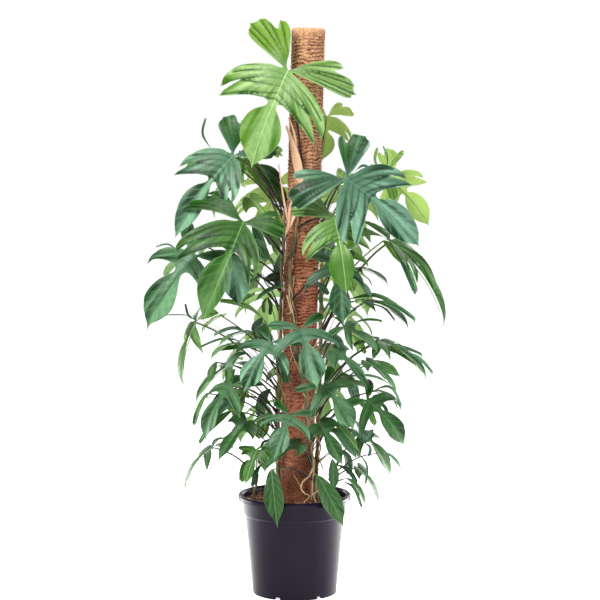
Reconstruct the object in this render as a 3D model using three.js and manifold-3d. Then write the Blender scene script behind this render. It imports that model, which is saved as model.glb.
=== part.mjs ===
// A climbing lobed-leaf philodendron on a coir pole, in a round nursery pot.
// Millimetres, +Z up. The origin is the middle of the pot's underside.
// -Y is the plant's front and +X its right.
import * as THREE from "three";
import { mergeVertices } from "three/addons/utils/BufferGeometryUtils.js";
import Module from "manifold-3d";

const wasm = await Module();
wasm.setup();

// ---------- driving dimensions ----------
const gap = 0.4; // running clearance between any two separate pieces

const pot = {
  height: 246,
  footRadius: 103.5,
  shoulderRadius: 122.5,
  shoulderHeight: 195,
  collarRadius: 129,
  lipRadius: 139.5,
  lipHeight: 12,
  wall: 2.2,
  floor: 3,
  recess: 6, // how far the drain ring stands above the ground
  drainRing: 79,
  drainHole: 7,
  drains: 6,
  drainTurn: 36, // degrees from the front to the first drain
  sides: 30,
};
const soil = { top: 231, radius: 124, lump: 3.2, sides: 20 };
const pole = {
  radius: 39,
  ridge: 1.8, // the coir windings stand this far proud
  windings: 19,
  top: 1388,
  sunkTo: 165,
  stakeRadius: 12.5,
  stakeTop: 1366,
  footX: 3.5,
  lean: 1.5, // degrees, towards +X
  sides: 14,
};
const stemOff = 50; // from the pole's axis to a climbing stem's axis
const bladeThick = 0.95;
const cup = 1.1; // how far a blade rolls back across its width, in radians per its own length

const rad = THREE.MathUtils.degToRad;
const V = (x, y, z) => new THREE.Vector3(x, y, z);

// ---------- solids ----------
function solidOf(geometry) {
  const bare = new THREE.BufferGeometry().setAttribute("position", geometry.getAttribute("position"));
  if (geometry.index) bare.setIndex(geometry.index);
  const merged = mergeVertices(bare, 1e-4);
  return new wasm.Manifold(
    new wasm.Mesh({
      numProp: 3,
      vertProperties: new Float32Array(merged.attributes.position.array),
      triVerts: new Uint32Array(merged.index.array),
    }),
  );
}

function geometryOf(solid) {
  const { vertProperties, triVerts } = solid.getMesh();
  const geometry = new THREE.BufferGeometry();
  geometry.setAttribute("position", new THREE.BufferAttribute(new Float32Array(vertProperties), 3));
  geometry.setIndex(new THREE.BufferAttribute(new Uint32Array(triVerts), 1));
  geometry.computeVertexNormals();
  return geometry;
}

function node(name, solid, finish) {
  const mesh = new THREE.Mesh(geometryOf(solid), new THREE.MeshStandardMaterial(finish));
  mesh.name = name;
  return mesh;
}

const join = (solids) => wasm.Manifold.union(solids);

// A profile of [radius, height] pairs, listed anticlockwise from the axis, turned about Z.
function turned(profile, sides) {
  const points = profile.map(([r, z]) => new THREE.Vector2(r, z));
  return new THREE.LatheGeometry(points, sides).rotateX(Math.PI / 2);
}

// A rod along Z with flat ends.
function rod(radius, from, to, sides) {
  return new THREE.CylinderGeometry(radius, radius, to - from, sides)
    .rotateX(Math.PI / 2)
    .translate(0, 0, (from + to) / 2);
}

// A closed tube through a list of points, with one radius for each of them.
// Its first corner lies towards `corner`.
function tube(points, radii, sides, corner) {
  const flat = [];
  const index = [];
  let across = corner;
  points.forEach((point, i) => {
    const ahead = points[Math.min(i + 1, points.length - 1)];
    const along = ahead.clone().sub(points[Math.max(i - 1, 0)]).normalize();
    across = across.clone().addScaledVector(along, -across.dot(along)).normalize();
    const third = along.clone().cross(across);
    for (let k = 0; k < sides; k++) {
      const turn = (2 * Math.PI * k) / sides;
      const rim = point
        .clone()
        .addScaledVector(across, radii[i] * Math.cos(turn))
        .addScaledVector(third, radii[i] * Math.sin(turn));
      flat.push(rim.x, rim.y, rim.z);
    }
  });
  const at = (i, k) => i * sides + (k % sides);
  for (let i = 0; i < points.length - 1; i++) {
    for (let k = 0; k < sides; k++) {
      index.push(at(i, k), at(i, k + 1), at(i + 1, k + 1), at(i, k), at(i + 1, k + 1), at(i + 1, k));
    }
  }
  const last = points.length - 1;
  for (let k = 1; k < sides - 1; k++) {
    index.push(at(0, 0), at(0, k + 1), at(0, k), at(last, 0), at(last, k), at(last, k + 1));
  }
  const geometry = new THREE.BufferGeometry();
  geometry.setAttribute("position", new THREE.Float32BufferAttribute(flat, 3));
  geometry.setIndex(index);
  return geometry;
}

// ---------- pot ----------
function potSolid() {
  const { height, footRadius, shoulderRadius, shoulderHeight, collarRadius, lipRadius, lipHeight } = pot;
  const { wall, floor, recess, drainRing, drainHole, drains, drainTurn, sides } = pot;
  const inFloor = recess + floor;
  const lipFoot = height - lipHeight;
  const profile = [
    [0, 0],
    [60, 0],
    [64, recess],
    [footRadius - 9, recess],
    [footRadius - 6, 0],
    [footRadius, 0],
    [shoulderRadius, shoulderHeight],
    [shoulderRadius + 3.5, shoulderHeight + 4],
    [collarRadius, height - 4],
    [lipRadius - wall - 1, height - 4],
    [lipRadius - wall, lipFoot],
    [lipRadius, lipFoot],
    [lipRadius, height - 3],
    [lipRadius - 3, height],
    [collarRadius + 1, height],
    [collarRadius - wall, height - 4],
    [shoulderRadius + 3.5 - wall, shoulderHeight + 4],
    [shoulderRadius - wall, shoulderHeight],
    [footRadius - wall + 0.8, inFloor],
    [64, inFloor],
    [60, floor],
    [0, floor],
  ];
  let body = solidOf(turned(profile, sides));
  for (let i = 0; i < drains; i++) {
    const turn = rad(drainTurn + (360 / drains) * i);
    const hole = rod(drainHole, -1, inFloor + 1, 8).translate(0, -drainRing, 0);
    const notch = new THREE.BoxGeometry(14, 16, 2 * recess + 1).translate(0, -footRadius, 0);
    body = body.subtract(solidOf(hole.rotateZ(turn)));
    body = body.subtract(solidOf(notch.rotateZ(turn)));
  }
  return body;
}

// ---------- coir pole ----------
// The pole stands in the soil a little off the pot's axis, and leans.
const poleX = (z) => pole.footX + Math.tan(rad(pole.lean)) * (z - soil.top);
const leaned = (geometry) =>
  geometry
    .translate(0, 0, -soil.top)
    .rotateY(rad(pole.lean))
    .translate(pole.footX, 0, soil.top);

function coirSolid() {
  const { radius, ridge, windings, top, sunkTo, stakeRadius, stakeTop, sides } = pole;
  const bore = stakeRadius + gap;
  const profile = [
    [bore, sunkTo],
    [radius, sunkTo],
  ];
  const pitch = (top - 14 - soil.top) / windings;
  for (let i = 0; i < windings; i++) {
    const z = soil.top + 6 + pitch * i;
    const swell = ridge * (0.75 + 0.25 * Math.sin(2.4 * i)); // no two windings are quite alike
    profile.push([radius, z], [radius + swell, z + pitch / 2]);
  }
  profile.push([radius, top - 6], [radius - 7, top], [0, top], [0, stakeTop + gap], [bore, stakeTop + gap]);
  return solidOf(leaned(turned([...profile, profile[0]], sides)));
}

const stakeSolid = () => solidOf(leaned(rod(pole.stakeRadius, pot.floor + 1, pole.stakeTop, 12)));

// ---------- climbing stems ----------
// Each stem follows the pole: [height, degrees round the pole from its front] from the soil up.
const climbs = {
  stem_front: [[160, 58], [260, 58], [350, 44], [480, 22], [640, -18], [800, -34], [940, -16], [1015, 4]],
  stem_left: [[160, -62], [260, -62], [420, -80], [620, -84], [800, -78], [960, -64]],
  stem_right: [[160, 102], [260, 102], [420, 92], [600, 82], [780, 76], [925, 66]],
  stem_back_left: [[160, -122], [260, -122], [500, -136], [760, -128], [1090, -140]],
  stem_back_right: [[160, 150], [260, 150], [500, 140], [760, 150], [1110, 134]],
};
// Two short shoots stand in the soil beside the pole: [x, y, height] from the soil up.
const shoots = {
  shoot_left: [[-101, -18, 170], [-101, -18, 242], [-96, -26, 268], [-90, -36, 300]],
  shoot_right: [[86, -48, 170], [86, -48, 242], [90, -50, 270], [96, -46, 312]],
};
const stemRadius = { foot: 6, tip: 4.2 };
const shootRadius = { foot: 4, tip: 3 };

function roundPole(z, degrees, off = stemOff) {
  const turn = rad(degrees);
  const centre = z < 260 ? poleX(260) : poleX(z); // a stem stands straight where it leaves the soil
  return V(centre + off * Math.sin(turn), -off * Math.cos(turn), z);
}

// A point of a climb at height z, eased between the listed heights.
function climbAt(climb, z) {
  let i = 0;
  while (i < climb.length - 2 && z > climb[i + 1][0]) i++;
  const [z0, a0] = climb[i];
  const [z1, a1] = climb[i + 1];
  const t = THREE.MathUtils.clamp((z - z0) / (z1 - z0), 0, 1);
  return roundPole(z, a0 + (a1 - a0) * t * t * (3 - 2 * t));
}

function stemPath(name) {
  if (shoots[name]) return shoots[name].map(([x, y, z]) => V(x, y, z));
  const climb = climbs[name];
  const foot = climb[0][0];
  const tip = climb[climb.length - 1][0];
  const steps = Math.round((tip - foot) / 62);
  const heights = Array.from({ length: steps + 1 }, (_, i) => foot + ((tip - foot) * i) / steps);
  return heights.map((z) => climbAt(climb, z));
}

// Where a petiole leaves its stem.
function leaves(name, z) {
  if (climbs[name]) return climbAt(climbs[name], z);
  const points = shoots[name];
  let i = 0;
  while (i < points.length - 2 && z > points[i + 1][2]) i++;
  const [from, to] = [V(...points[i]), V(...points[i + 1])];
  return from.lerp(to, THREE.MathUtils.clamp((z - from.z) / (to.z - from.z), 0, 1));
}

// ---------- blades ----------
// The right half of each kind of blade, from its tip round to the joint with the petiole.
// Units are the length from joint to tip, first across and then along; the left half mirrors it.
const outlines = {
  grand: [
    [0, 1], [0.135, 0.86], [0.2, 0.66], [0.165, 0.5], [0.05, 0.365], [0.12, 0.325], [0.31, 0.405],
    [0.545, 0.51], [0.42, 0.31], [0.57, 0.41], [0.42, 0.145], [0.06, 0.01], [0.36, -0.085],
    [0.61, -0.28], [0.5, -0.37], [0.28, -0.31], [0.32, -0.405], [0.16, -0.33], [0, 0],
  ],
  broad: [
    [0, 1], [0.12, 0.88], [0.2, 0.68], [0.16, 0.48], [0.055, 0.3], [0.1, 0.23], [0.34, 0.28], [0.56, 0.41],
    [0.4, 0.14], [0.06, 0.01], [0.32, -0.09], [0.46, -0.29], [0.3, -0.27], [0.1, -0.12], [0, 0],
  ],
  trident: [
    [0, 1], [0.1, 0.85], [0.155, 0.62], [0.12, 0.4], [0.075, 0.26], [0.22, 0.19], [0.38, 0.24], [0.32, 0.04],
    [0.14, -0.08], [0, 0],
  ],
  slender: [[0, 1], [0.08, 0.86], [0.155, 0.62], [0.16, 0.4], [0.1, 0.15], [0, 0]],
  sheath: [[0, 1], [0.05, 0.6], [0.06, 0.3], [0.05, 0]],
};
const ribAt = {
  grand: [0.8, 0.55, 0.2],
  broad: [0.75, 0.4],
  trident: [0.7, 0.3],
  slender: [0.55],
  sheath: [0.5],
};

// A flat point of a blade, as wide as its half is open.
// Its lobes are swept towards the tip by a share of their angle from it.
function opened([x, y], [wideLeft, wideRight, sweptLeft = 0, sweptRight = 0]) {
  const [wide, swept] = x > 0 ? [wideLeft, sweptLeft] : [wideRight, sweptRight];
  const angle = Math.atan2(Math.abs(x), y) * (1 - swept);
  const reach = Math.hypot(x, y);
  return [Math.sign(x) * wide * reach * Math.sin(angle), reach * Math.cos(angle)];
}

// A flat point of a blade, taken round the blade's own arch.
// The arch bends along by droop and across by cup.
function arched(across, along, long, droop) {
  const bend = droop * along;
  const fall = (1 - Math.cos(bend)) / droop;
  const out = Math.sin(bend) / droop;
  const roll = cup * across;
  const side = Math.sin(roll) / cup;
  const sink = (1 - Math.cos(roll)) / cup;
  const up = V(0, Math.sin(bend), Math.cos(bend));
  const point = V(side, out, -fall).addScaledVector(up, -sink);
  const normal = up.clone().multiplyScalar(Math.cos(roll)).add(V(Math.sin(roll), 0, 0));
  return { point: point.multiplyScalar(long), normal };
}

function bladeGeometry({ kind, long, droop, spread }) {
  const half = outlines[kind];
  const rib = ribAt[kind].map((along) => [0, along]);
  const open = half[half.length - 1][0] > 0; // a sheath has a wide foot
  const right = open ? [...half, [0, 0]] : half;
  const left = right.map(([x, y]) => [-x, y]);
  const points = [];
  const keyed = new Map();
  const add = ([x, y]) => {
    const key = x.toFixed(4) + "," + y.toFixed(4);
    if (!keyed.has(key)) keyed.set(key, points.push([x, y]) - 1);
    return keyed.get(key);
  };
  const ribUp = [...rib].reverse(); // from the joint to the tip
  const faces = [];
  for (const side of [right, left]) {
    const loop = [...side, ...ribUp];
    const ids = loop.map(add);
    const contour = loop.map(([x, y]) => new THREE.Vector2(x, y));
    for (const [a, b, c] of THREE.ShapeUtils.triangulateShape(contour, [])) {
      const [p, q, r] = [loop[a], loop[b], loop[c]];
      const turn = (q[0] - p[0]) * (r[1] - p[1]) - (q[1] - p[1]) * (r[0] - p[0]);
      faces.push(turn > 0 ? [ids[a], ids[b], ids[c]] : [ids[a], ids[c], ids[b]]);
    }
  }
  // The rim runs up the right side, over the tip and down the left.
  const rim = [...[...right].reverse(), ...left.slice(1)].map(add);
  if (rim[rim.length - 1] === rim[0]) rim.pop();
  const count = points.length;
  const flat = [];
  for (const side of [1, -1]) {
    for (const flatPoint of points) {
      const { point, normal } = arched(...opened(flatPoint, spread), long, droop);
      point.addScaledVector(normal, (side * bladeThick) / 2);
      flat.push(point.x, point.y, point.z);
    }
  }
  const index = [];
  for (const [a, b, c] of faces) index.push(a, b, c, count + a, count + c, count + b);
  rim.forEach((a, i) => {
    const b = rim[(i + 1) % rim.length];
    index.push(a, count + a, count + b, a, count + b, b);
  });
  const geometry = new THREE.BufferGeometry();
  geometry.setAttribute("position", new THREE.Float32BufferAttribute(flat, 3));
  geometry.setIndex(index);
  return geometry;
}

// A blade's own frame. It faces out at `faces` degrees round from the front.
// With its tip straight below the joint it has no lift, and level with it 90.
// Turn swings the tip sideways in the blade's own plane, seen from outside.
function bladeFrame({ at, faces, lift, turn, droop }) {
  const [a, l, t] = [rad(faces), rad(lift) + droop / 2, rad(turn)];
  const out = V(Math.sin(a), -Math.cos(a), 0);
  const side = V(Math.cos(a), Math.sin(a), 0);
  const up = V(0, 0, 1);
  const normal = out.clone().multiplyScalar(Math.cos(l)).addScaledVector(up, Math.sin(l));
  const hang = up.clone().multiplyScalar(-Math.cos(l)).addScaledVector(out, Math.sin(l));
  const tip = hang.clone().multiplyScalar(Math.cos(t)).addScaledVector(side, Math.sin(t));
  return new THREE.Matrix4().makeBasis(tip.clone().cross(normal), tip, normal).setPosition(V(...at));
}

// A petiole starts in the blade's underside just past the joint, and arches down to the axis of the stem.
function petioleSolid(leaf, frame, foot) {
  const { long, droop } = leaf;
  const thick = 1.3 + long / 200;
  const { point, normal } = arched(0, 0.04, long, droop);
  const joint = point.addScaledVector(normal, -thick / 2).applyMatrix4(frame);
  const reach = joint.distanceTo(foot);
  const bow = V(0, 0, 0.1 * reach);
  const middle = foot.clone().lerp(joint, 0.5).add(bow);
  const path = [joint, middle, foot];
  const radii = [thick, 1.1 * thick, 1.5 * thick];
  const down = V(0, 0, -1).transformDirection(frame);
  return solidOf(tube(path, radii, 3, down));
}

function leafSolids(stem, leaf) {
  const frame = bladeFrame(leaf);
  const blade = solidOf(bladeGeometry(leaf).applyMatrix4(frame));
  if (leaf.kind === "sheath") return [blade];
  return [blade, petioleSolid(leaf, frame, leaves(stem, leaf.from))];
}

// ---------- the leaves of each stem ----------
// [kind, height it leaves the stem, [x, y, z] of its joint, faces, lift, turn, length, droop, spread]
// Spread holds how wide the left and the right half of a blade are open, and how far their lobes are swept.
const foliage = {
  stem_front: [
    ["grand", 1000, [-15, -95, 1285], -5, 1, -24, 250, 0.5, [1, 1.05, -0.04, 0.14]],
    ["grand", 905, [95, -130, 935], 0, 15, 12, 188, 0.6, [0.85, 0.7]],
    ["broad", 580, [15, -125, 668], 5, 22, 13, 152, 0.7],
    ["broad", 730, [104, -105, 822], 10, 20, 0, 150, 0.6, [1, 0.7]],
    ["broad", 455, [70, -110, 530], 10, 22, 34, 132, 0.6],
    ["broad", 385, [-10, -125, 460], -5, 25, -17, 118, 0.6],
    ["trident", 365, [60, -105, 435], 12, 20, 26, 115, 0.5],
    ["trident", 315, [15, -90, 385], -30, 50, -40, 115, 0.7],
    ["slender", 285, [-55, -130, 330], -10, 12, 8, 138, 0.35],
    ["slender", 275, [55, -130, 315], 12, 14, 26, 140, 0.35],
    ["sheath", 0, [20, -52, 1005], -10, -10, -164, 120, 0.2],
    ["sheath", 0, [23, -52, 1000], -10, 4, -22, 130, 0.2],
  ],
  stem_left: [
    ["grand", 950, [-145, -70, 1083], 0, 10, -40, 250, 0.7, [0.62, 0.5]],
    ["grand", 920, [-118, 52, 1072], -110, 30, 0, 175, 0.7],
    ["grand", 840, [-120, -150, 928], 10, 16, -24, 268, 0.9, [0.95, 0.55, 0.15, 0.2]],
    ["broad", 750, [-237, -100, 845], -20, 20, -32, 215, 0.6],
    ["slender", 780, [-146, -130, 844], -5, 8, 8, 122, 0.35, [1.6, 1.6]],
    ["broad", 505, [-240, -20, 675], -75, 12, 0, 165, 0.7],
    ["broad", 540, [-55, -105, 635], -15, 25, -24, 142, 0.6],
    ["broad", 475, [-150, -10, 570], -66, 44, -8, 138, 0.9],
    ["broad", 450, [-150, -95, 530], -50, 26, -12, 155, 0.8],
    ["trident", 365, [-115, -85, 440], -25, 25, -28, 122, 0.6],
    ["slender", 395, [-50, -80, 455], -30, 60, -50, 70, 0.6],
    ["trident", 580, [-110, -60, 655], -68, 66, 0, 92, 1.0],
    ["broad", 560, [-130, -22, 620], -66, 68, 0, 92, 1.1],
    ["slender", 930, [-178, -30, 1074], -15, 22, -84, 98, 0.5, [1.4, 1.3]],
    ["slender", 890, [-109, 30, 1061], -20, 20, -40, 106, 0.5, [1.2, 1]],
    ["slender", 870, [-90, 35, 1055], 20, 20, 55, 80, 0.5, [1.2, 1.2]],
    ["trident", 860, [-108, -30, 978], 8, 18, 38, 108, 0.5, [0.8, 0.6]],
    ["slender", 720, [-28, -62, 767], -30, 30, -67, 92, 0.7, [0.6, 0.5]],
    ["slender", 700, [-75, 0, 775], -10, 20, 112, 58, 0.5, [1.3, 1.3]],
    ["slender", 500, [-190, -26, 577], -20, 20, -17, 60, 0.5],
    ["slender", 440, [-126, -20, 541], -15, 20, -58, 76, 0.5, [1.2, 1.1]],
    ["slender", 420, [-212, -44, 503], -50, 20, -10, 78, 0.6, [0.7, 0.7]],
    ["slender", 405, [-152, -60, 461], -20, 24, -47, 102, 0.6, [0.7, 0.6]],
    ["slender", 430, [-137, -75, 509], -15, 22, -44, 90, 0.5, [1.1, 1]],
    ["slender", 385, [-66, 28, 432], -10, 14, -12, 60, 0.5, [1.1, 1.1]],
  ],
  stem_right: [
    ["grand", 915, [120, -150, 1031], 10, 8, 52, 250, 0.6, [0.85, 0.85, 0, 0.15]],
    ["grand", 865, [235, 115, 1020], 160, 8, -46, 158, 0.6, [0.9, 1]],
    ["grand", 645, [228, -40, 875], 66, 34, 8, 255, 0.8, [0.5, 0.62]],
    ["broad", 655, [150, 10, 803], 62, 66, 6, 96, 1.0, [0.8, 0.8]],
    ["broad", 605, [170, -20, 725], 64, 62, 6, 136, 1.0, [0.8, 0.8]],
    ["broad", 570, [118, -70, 668], 30, 38, 52, 112, 0.8],
    ["broad", 500, [205, 0, 625], 64, 54, 8, 158, 0.9, [0.85, 0.85]],
    ["trident", 485, [175, -40, 580], 60, 45, 8, 112, 0.7],
    ["trident", 520, [95, -115, 615], 35, 32, 36, 122, 0.6],
    ["trident", 465, [120, -45, 535], 90, 84, 0, 118, 1.0],
    ["broad", 405, [175, -70, 490], 25, 25, 36, 148, 0.6],
    ["slender", 425, [195, 20, 500], 68, 56, 0, 92, 1.1],
    ["slender", 360, [88, -88, 420], 40, 30, 32, 102, 0.6],
    ["broad", 730, [118, -48, 850], 20, 16, 6, 110, 0.6],
    ["slender", 690, [216, -10, 873], 20, 20, 40, 80, 0.6],
    ["slender", 630, [152, -40, 779], 15, 20, 40, 58, 0.6, [0.9, 0.9]],
    ["slender", 480, [208, 46, 626], 20, 20, -21, 58, 0.5, [1.1, 1]],
    ["slender", 450, [190, 0, 576], 20, 24, 63, 88, 0.6, [1.1, 0.9]],
    ["slender", 440, [116, -30, 530], 30, 30, 84, 112, 0.7, [0.6, 0.5]],
    ["slender", 370, [99, -60, 431], 15, 22, 36, 90, 0.5, [0.9, 0.8]],
  ],
  shoot_left: [
    ["broad", 296, [-200, -10, 365], -80, 32, 0, 140, 0.9],
    ["trident", 272, [-92, -74, 365], -10, 14, -18, 88, 0.5],
  ],
  shoot_right: [
    ["broad", 308, [160, 0, 400], 55, 35, 10, 138, 0.8],
    ["slender", 300, [92, -76, 345], 10, 15, 0, 78, 0.5],
    ["trident", 290, [155, -20, 315], 70, 30, 5, 108, 0.8],
    ["slender", 272, [128, -84, 300], 60, 38, 0, 82, 0.8],
    ["slender", 305, [226, 5, 348], 40, 30, 34, 62, 0.7, [0.7, 0.6]],
  ],
  stem_back_left: [
    ["trident", 520, [-180, 40, 685], -120, 50, 0, 80, 0.8],
    ["trident", 435, [-135, 40, 490], -150, 20, 0, 78, 0.6],
    ["trident", 455, [-168, 78, 562], -112, 10, 0, 52, 0.6],
    ["broad", 690, [-225, 55, 860], -110, 48, 0, 150, 0.8],
    ["grand", 875, [-52, 104, 999], -165, 30, 0, 165, 0.6],
  ],
  stem_back_right: [
    ["grand", 1010, [80, 84, 1175], 165, 15, 10, 120, 0.6],
    ["trident", 655, [155, 40, 770], 110, 25, 0, 70, 0.8],
  ],
};

// The back of the plant: leaves climb each back stem by a rule, larger and farther out as they go up.
function backLeaf(z, degrees, step) {
  const up = (z - 300) / 800;
  const reach = 105 + 70 * up + 22 * Math.sin(2.1 * step);
  const turn = rad(degrees);
  return {
    kind: up > 0.55 ? "grand" : step % 3 === 2 ? "trident" : "broad",
    from: z,
    at: [poleX(z) + reach * Math.sin(turn), -reach * Math.cos(turn), z + 75 + 50 * up],
    faces: degrees + 8 * Math.sin(step),
    lift: 32 + 5 * Math.cos(1.7 * step),
    turn: 14 * Math.sin(2.6 * step),
    long: 115 + 110 * up,
    droop: 0.7,
    spread: [1, 1],
  };
}

const backRule = {
  stem_back_left: { from: 285, rise: 88, count: 6, towards: [-150, -138, -162, -128] },
  stem_back_right: { from: 320, rise: 95, count: 7, towards: [146, 156, 148, 128] },
};

function leavesOf(stem) {
  const placed = foliage[stem].map(([kind, from, at, faces, lift, turn, long, droop, spread = [1, 1]]) => {
    return { kind, from, at, faces, lift, turn, long, droop, spread };
  });
  const rule = backRule[stem];
  if (!rule) return placed;
  const { from, rise, count, towards } = rule;
  const behind = Array.from({ length: count }, (_, i) => backLeaf(from + rise * i, towards[i % 4], i));
  return [...placed, ...behind];
}

function stemSolid(name) {
  const path = stemPath(name);
  const { foot, tip } = shoots[name] ? shootRadius : stemRadius;
  const radii = path.map((_, i) => foot + ((tip - foot) * i) / (path.length - 1));
  const parts = [solidOf(tube(path, radii, 6, V(1, 0, 0)))];
  for (const leaf of leavesOf(name)) parts.push(...leafSolids(name, leaf));
  return join(parts);
}

// ---------- soil ----------
function soilSolid() {
  const { top, radius, lump, sides } = soil;
  const deep = pot.recess + pot.floor + gap;
  const slack = pot.wall + gap;
  const profile = [
    [0, deep],
    [pot.footRadius - slack, deep],
    [pot.shoulderRadius - slack - 0.6, pot.shoulderHeight],
    [radius - 1.5, pot.shoulderHeight + 8],
    [radius, top - 3],
    [100, top],
    [75, top],
    [50, top],
    [25, top],
    [0, top],
  ];
  const geometry = turned(profile, sides);
  const place = geometry.getAttribute("position");
  for (let i = 0; i < place.count; i++) {
    const [x, y, z] = [place.getX(i), place.getY(i), place.getZ(i)];
    if (z < top - 1) continue;
    const lumps = lump * Math.sin(0.13 * x + 1) * Math.cos(0.11 * y);
    place.setZ(i, z + lumps + 1.2 * Math.sin(0.31 * x - 0.27 * y));
  }
  let body = solidOf(geometry);
  body = body.subtract(solidOf(leaned(rod(pole.radius + gap, pole.sunkTo - 1, top + 40, pole.sides))));
  body = body.subtract(solidOf(leaned(rod(pole.stakeRadius + gap, 0, top, 12))));
  for (const name of [...Object.keys(climbs), ...Object.keys(shoots)]) {
    const foot = stemPath(name)[0];
    const wide = (shoots[name] ? shootRadius.foot : stemRadius.foot) + 2 * gap;
    body = body.subtract(solidOf(rod(wide, foot.z - 1, top + 30, 8).translate(foot.x, foot.y, 0)));
  }
  return body;
}

// ---------- assembly ----------
const leafy = { color: 0x2f6b3a, roughness: 0.45, metalness: 0 };
const plant = new THREE.Group();
plant.add(
  node("pot", potSolid(), { color: 0x241f2b, roughness: 0.3, metalness: 0 }),
  node("soil", soilSolid(), { color: 0x3d261b, roughness: 0.95, metalness: 0 }),
  node("pole_stake", stakeSolid(), { color: 0x9a7448, roughness: 0.8, metalness: 0 }),
  node("pole_coir", coirSolid(), { color: 0xa4613f, roughness: 0.95, metalness: 0 }),
);
for (const name of Object.keys(foliage)) plant.add(node(name, stemSolid(name), leafy));

export default plant;
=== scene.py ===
import math
import random

import bpy
import numpy as np
from mathutils import Matrix, Vector, noise
from mathutils.geometry import delaunay_2d_cdt


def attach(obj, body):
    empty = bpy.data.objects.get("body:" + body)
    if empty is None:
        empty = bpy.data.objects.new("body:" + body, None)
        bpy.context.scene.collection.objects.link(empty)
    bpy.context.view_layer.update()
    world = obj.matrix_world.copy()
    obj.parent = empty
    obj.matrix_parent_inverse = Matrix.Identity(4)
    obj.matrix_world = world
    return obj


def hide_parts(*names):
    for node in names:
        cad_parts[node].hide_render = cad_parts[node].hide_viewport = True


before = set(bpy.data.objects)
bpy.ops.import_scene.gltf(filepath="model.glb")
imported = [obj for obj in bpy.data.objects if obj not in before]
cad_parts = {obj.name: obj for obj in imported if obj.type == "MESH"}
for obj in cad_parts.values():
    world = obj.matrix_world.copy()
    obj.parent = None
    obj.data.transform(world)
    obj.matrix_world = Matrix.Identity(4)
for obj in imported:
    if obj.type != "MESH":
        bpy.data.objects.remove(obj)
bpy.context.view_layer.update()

mm = 0.001
bpy.context.scene.view_settings.view_transform = "Standard"
print("stage: frame loaded")


# small tools that several pieces share
def deselectAll():
    bpy.ops.object.select_all(action="DESELECT")


def pick(piece):
    deselectAll()
    piece.select_set(True)
    bpy.context.view_layer.objects.active = piece


def applyModifier(piece, kind, **settings):
    pick(piece)
    modifier = piece.modifiers.new(kind.title(), kind)
    for key, value in settings.items():
        setattr(modifier, key, value)
    bpy.ops.object.modifier_apply(modifier=modifier.name)


def meshPiece(name, points, faces, finishes):
    mesh = bpy.data.meshes.new(name)
    mesh.from_pydata([tuple(p) for p in points], [], [tuple(int(i) for i in f) for f in faces])
    piece = bpy.data.objects.new(name, mesh)
    bpy.context.scene.collection.objects.link(piece)
    for finish in finishes:
        mesh.materials.append(finish)
    return piece


def joinInto(name, pieces):
    pick(pieces[0])
    for piece in pieces[1:]:
        piece.select_set(True)
    bpy.ops.object.join()
    joined = bpy.context.view_layer.objects.active
    joined.name = joined.data.name = name
    return joined


def smoothByAngle(piece, degrees):
    pick(piece)
    bpy.ops.object.shade_smooth_by_angle(angle=math.radians(degrees))


def curveThrough(points, perSpan):
    given = [Vector(p) for p in points]
    line = []
    for i in range(len(given) - 1):
        a, b = given[i], given[i + 1]
        span = (b - a).length
        leave = (b - given[max(i - 1, 0)]).normalized() * span
        arrive = (given[min(i + 2, len(given) - 1)] - a).normalized() * span
        for k in range(perSpan):
            line.append(hermite(a, b, leave, arrive, k / perSpan))
    line.append(given[-1])
    return line


def hermite(a, b, leave, arrive, t):
    t2, t3 = t * t, t * t * t
    return (
        a * (2 * t3 - 3 * t2 + 1) + leave * (t3 - 2 * t2 + t)
        + b * (3 * t2 - 2 * t3) + arrive * (t3 - t2)
    )


def ringFaces(rows, sides):
    faces = []
    for i in range(rows - 1):
        for k in range(sides):
            n = (k + 1) % sides
            faces.append((i * sides + k, i * sides + n, (i + 1) * sides + n, (i + 1) * sides + k))
    return faces + [tuple(range(sides - 1, -1, -1)), tuple(range((rows - 1) * sides, rows * sides))]


def tube(path, radii, sides):
    points, along = [], []
    across = Vector((0.31, 0.17, 0.93))
    last = len(path) - 1
    for i, point in enumerate(path):
        ahead = (path[min(i + 1, last)] - path[max(i - 1, 0)]).normalized()
        across = (across - ahead * across.dot(ahead)).normalized()
        third = ahead.cross(across)
        for k in range(sides):
            turn = 2 * math.pi * k / sides
            points.append(point + (across * math.cos(turn) + third * math.sin(turn)) * radii[i])
            along.append(i / last)
    return points, ringFaces(len(path), sides), along


# material building
def newFinish(name, **sockets):
    made = bpy.data.materials.new(name)
    made.use_nodes = True
    shader = made.node_tree.nodes["Principled BSDF"]
    for socket, value in sockets.items():
        shader.inputs[socket.replace("_", " ")].default_value = value
    return made, made.node_tree, shader.inputs


def addNode(tree, kind, wires, **settings):
    made = tree.nodes.new("ShaderNode" + kind)
    for key, value in settings.items():
        setattr(made, key, value)
    for socket, source in wires.items():
        if isinstance(source, bpy.types.NodeSocket):
            tree.links.new(source, made.inputs[socket])
        else:
            made.inputs[socket].default_value = source
    return made


def mixed(tree, amount, first, second, blend="MIX"):
    wires = {0: amount, 6: first, 7: second}
    return addNode(tree, "Mix", wires, data_type="RGBA", blend_type=blend).outputs[2]


def tinted(tree, tone, tint):
    return mixed(tree, 1.0, tone, (*tint, 1), "MULTIPLY")


def maths(tree, operation, first, second=0.0, clamp=False):
    wires = {0: first, 1: second}
    return addNode(tree, "Math", wires, operation=operation, use_clamp=clamp).outputs[0]


def times(tree, first, *others):
    for other in others:
        first = maths(tree, "MULTIPLY", first, other)
    return first


def grain(tree, where, scale, detail=3.0, roughness=0.5):
    wires = {"Vector": where, "Scale": scale, "Detail": detail, "Roughness": roughness}
    return addNode(tree, "TexNoise", wires).outputs[0]


def between(tree, value, low, high, to=(0.0, 1.0)):
    wires = {"Value": value, "From Min": low, "From Max": high, "To Min": to[0], "To Max": to[1]}
    return addNode(tree, "MapRange", wires).outputs[0]


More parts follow.
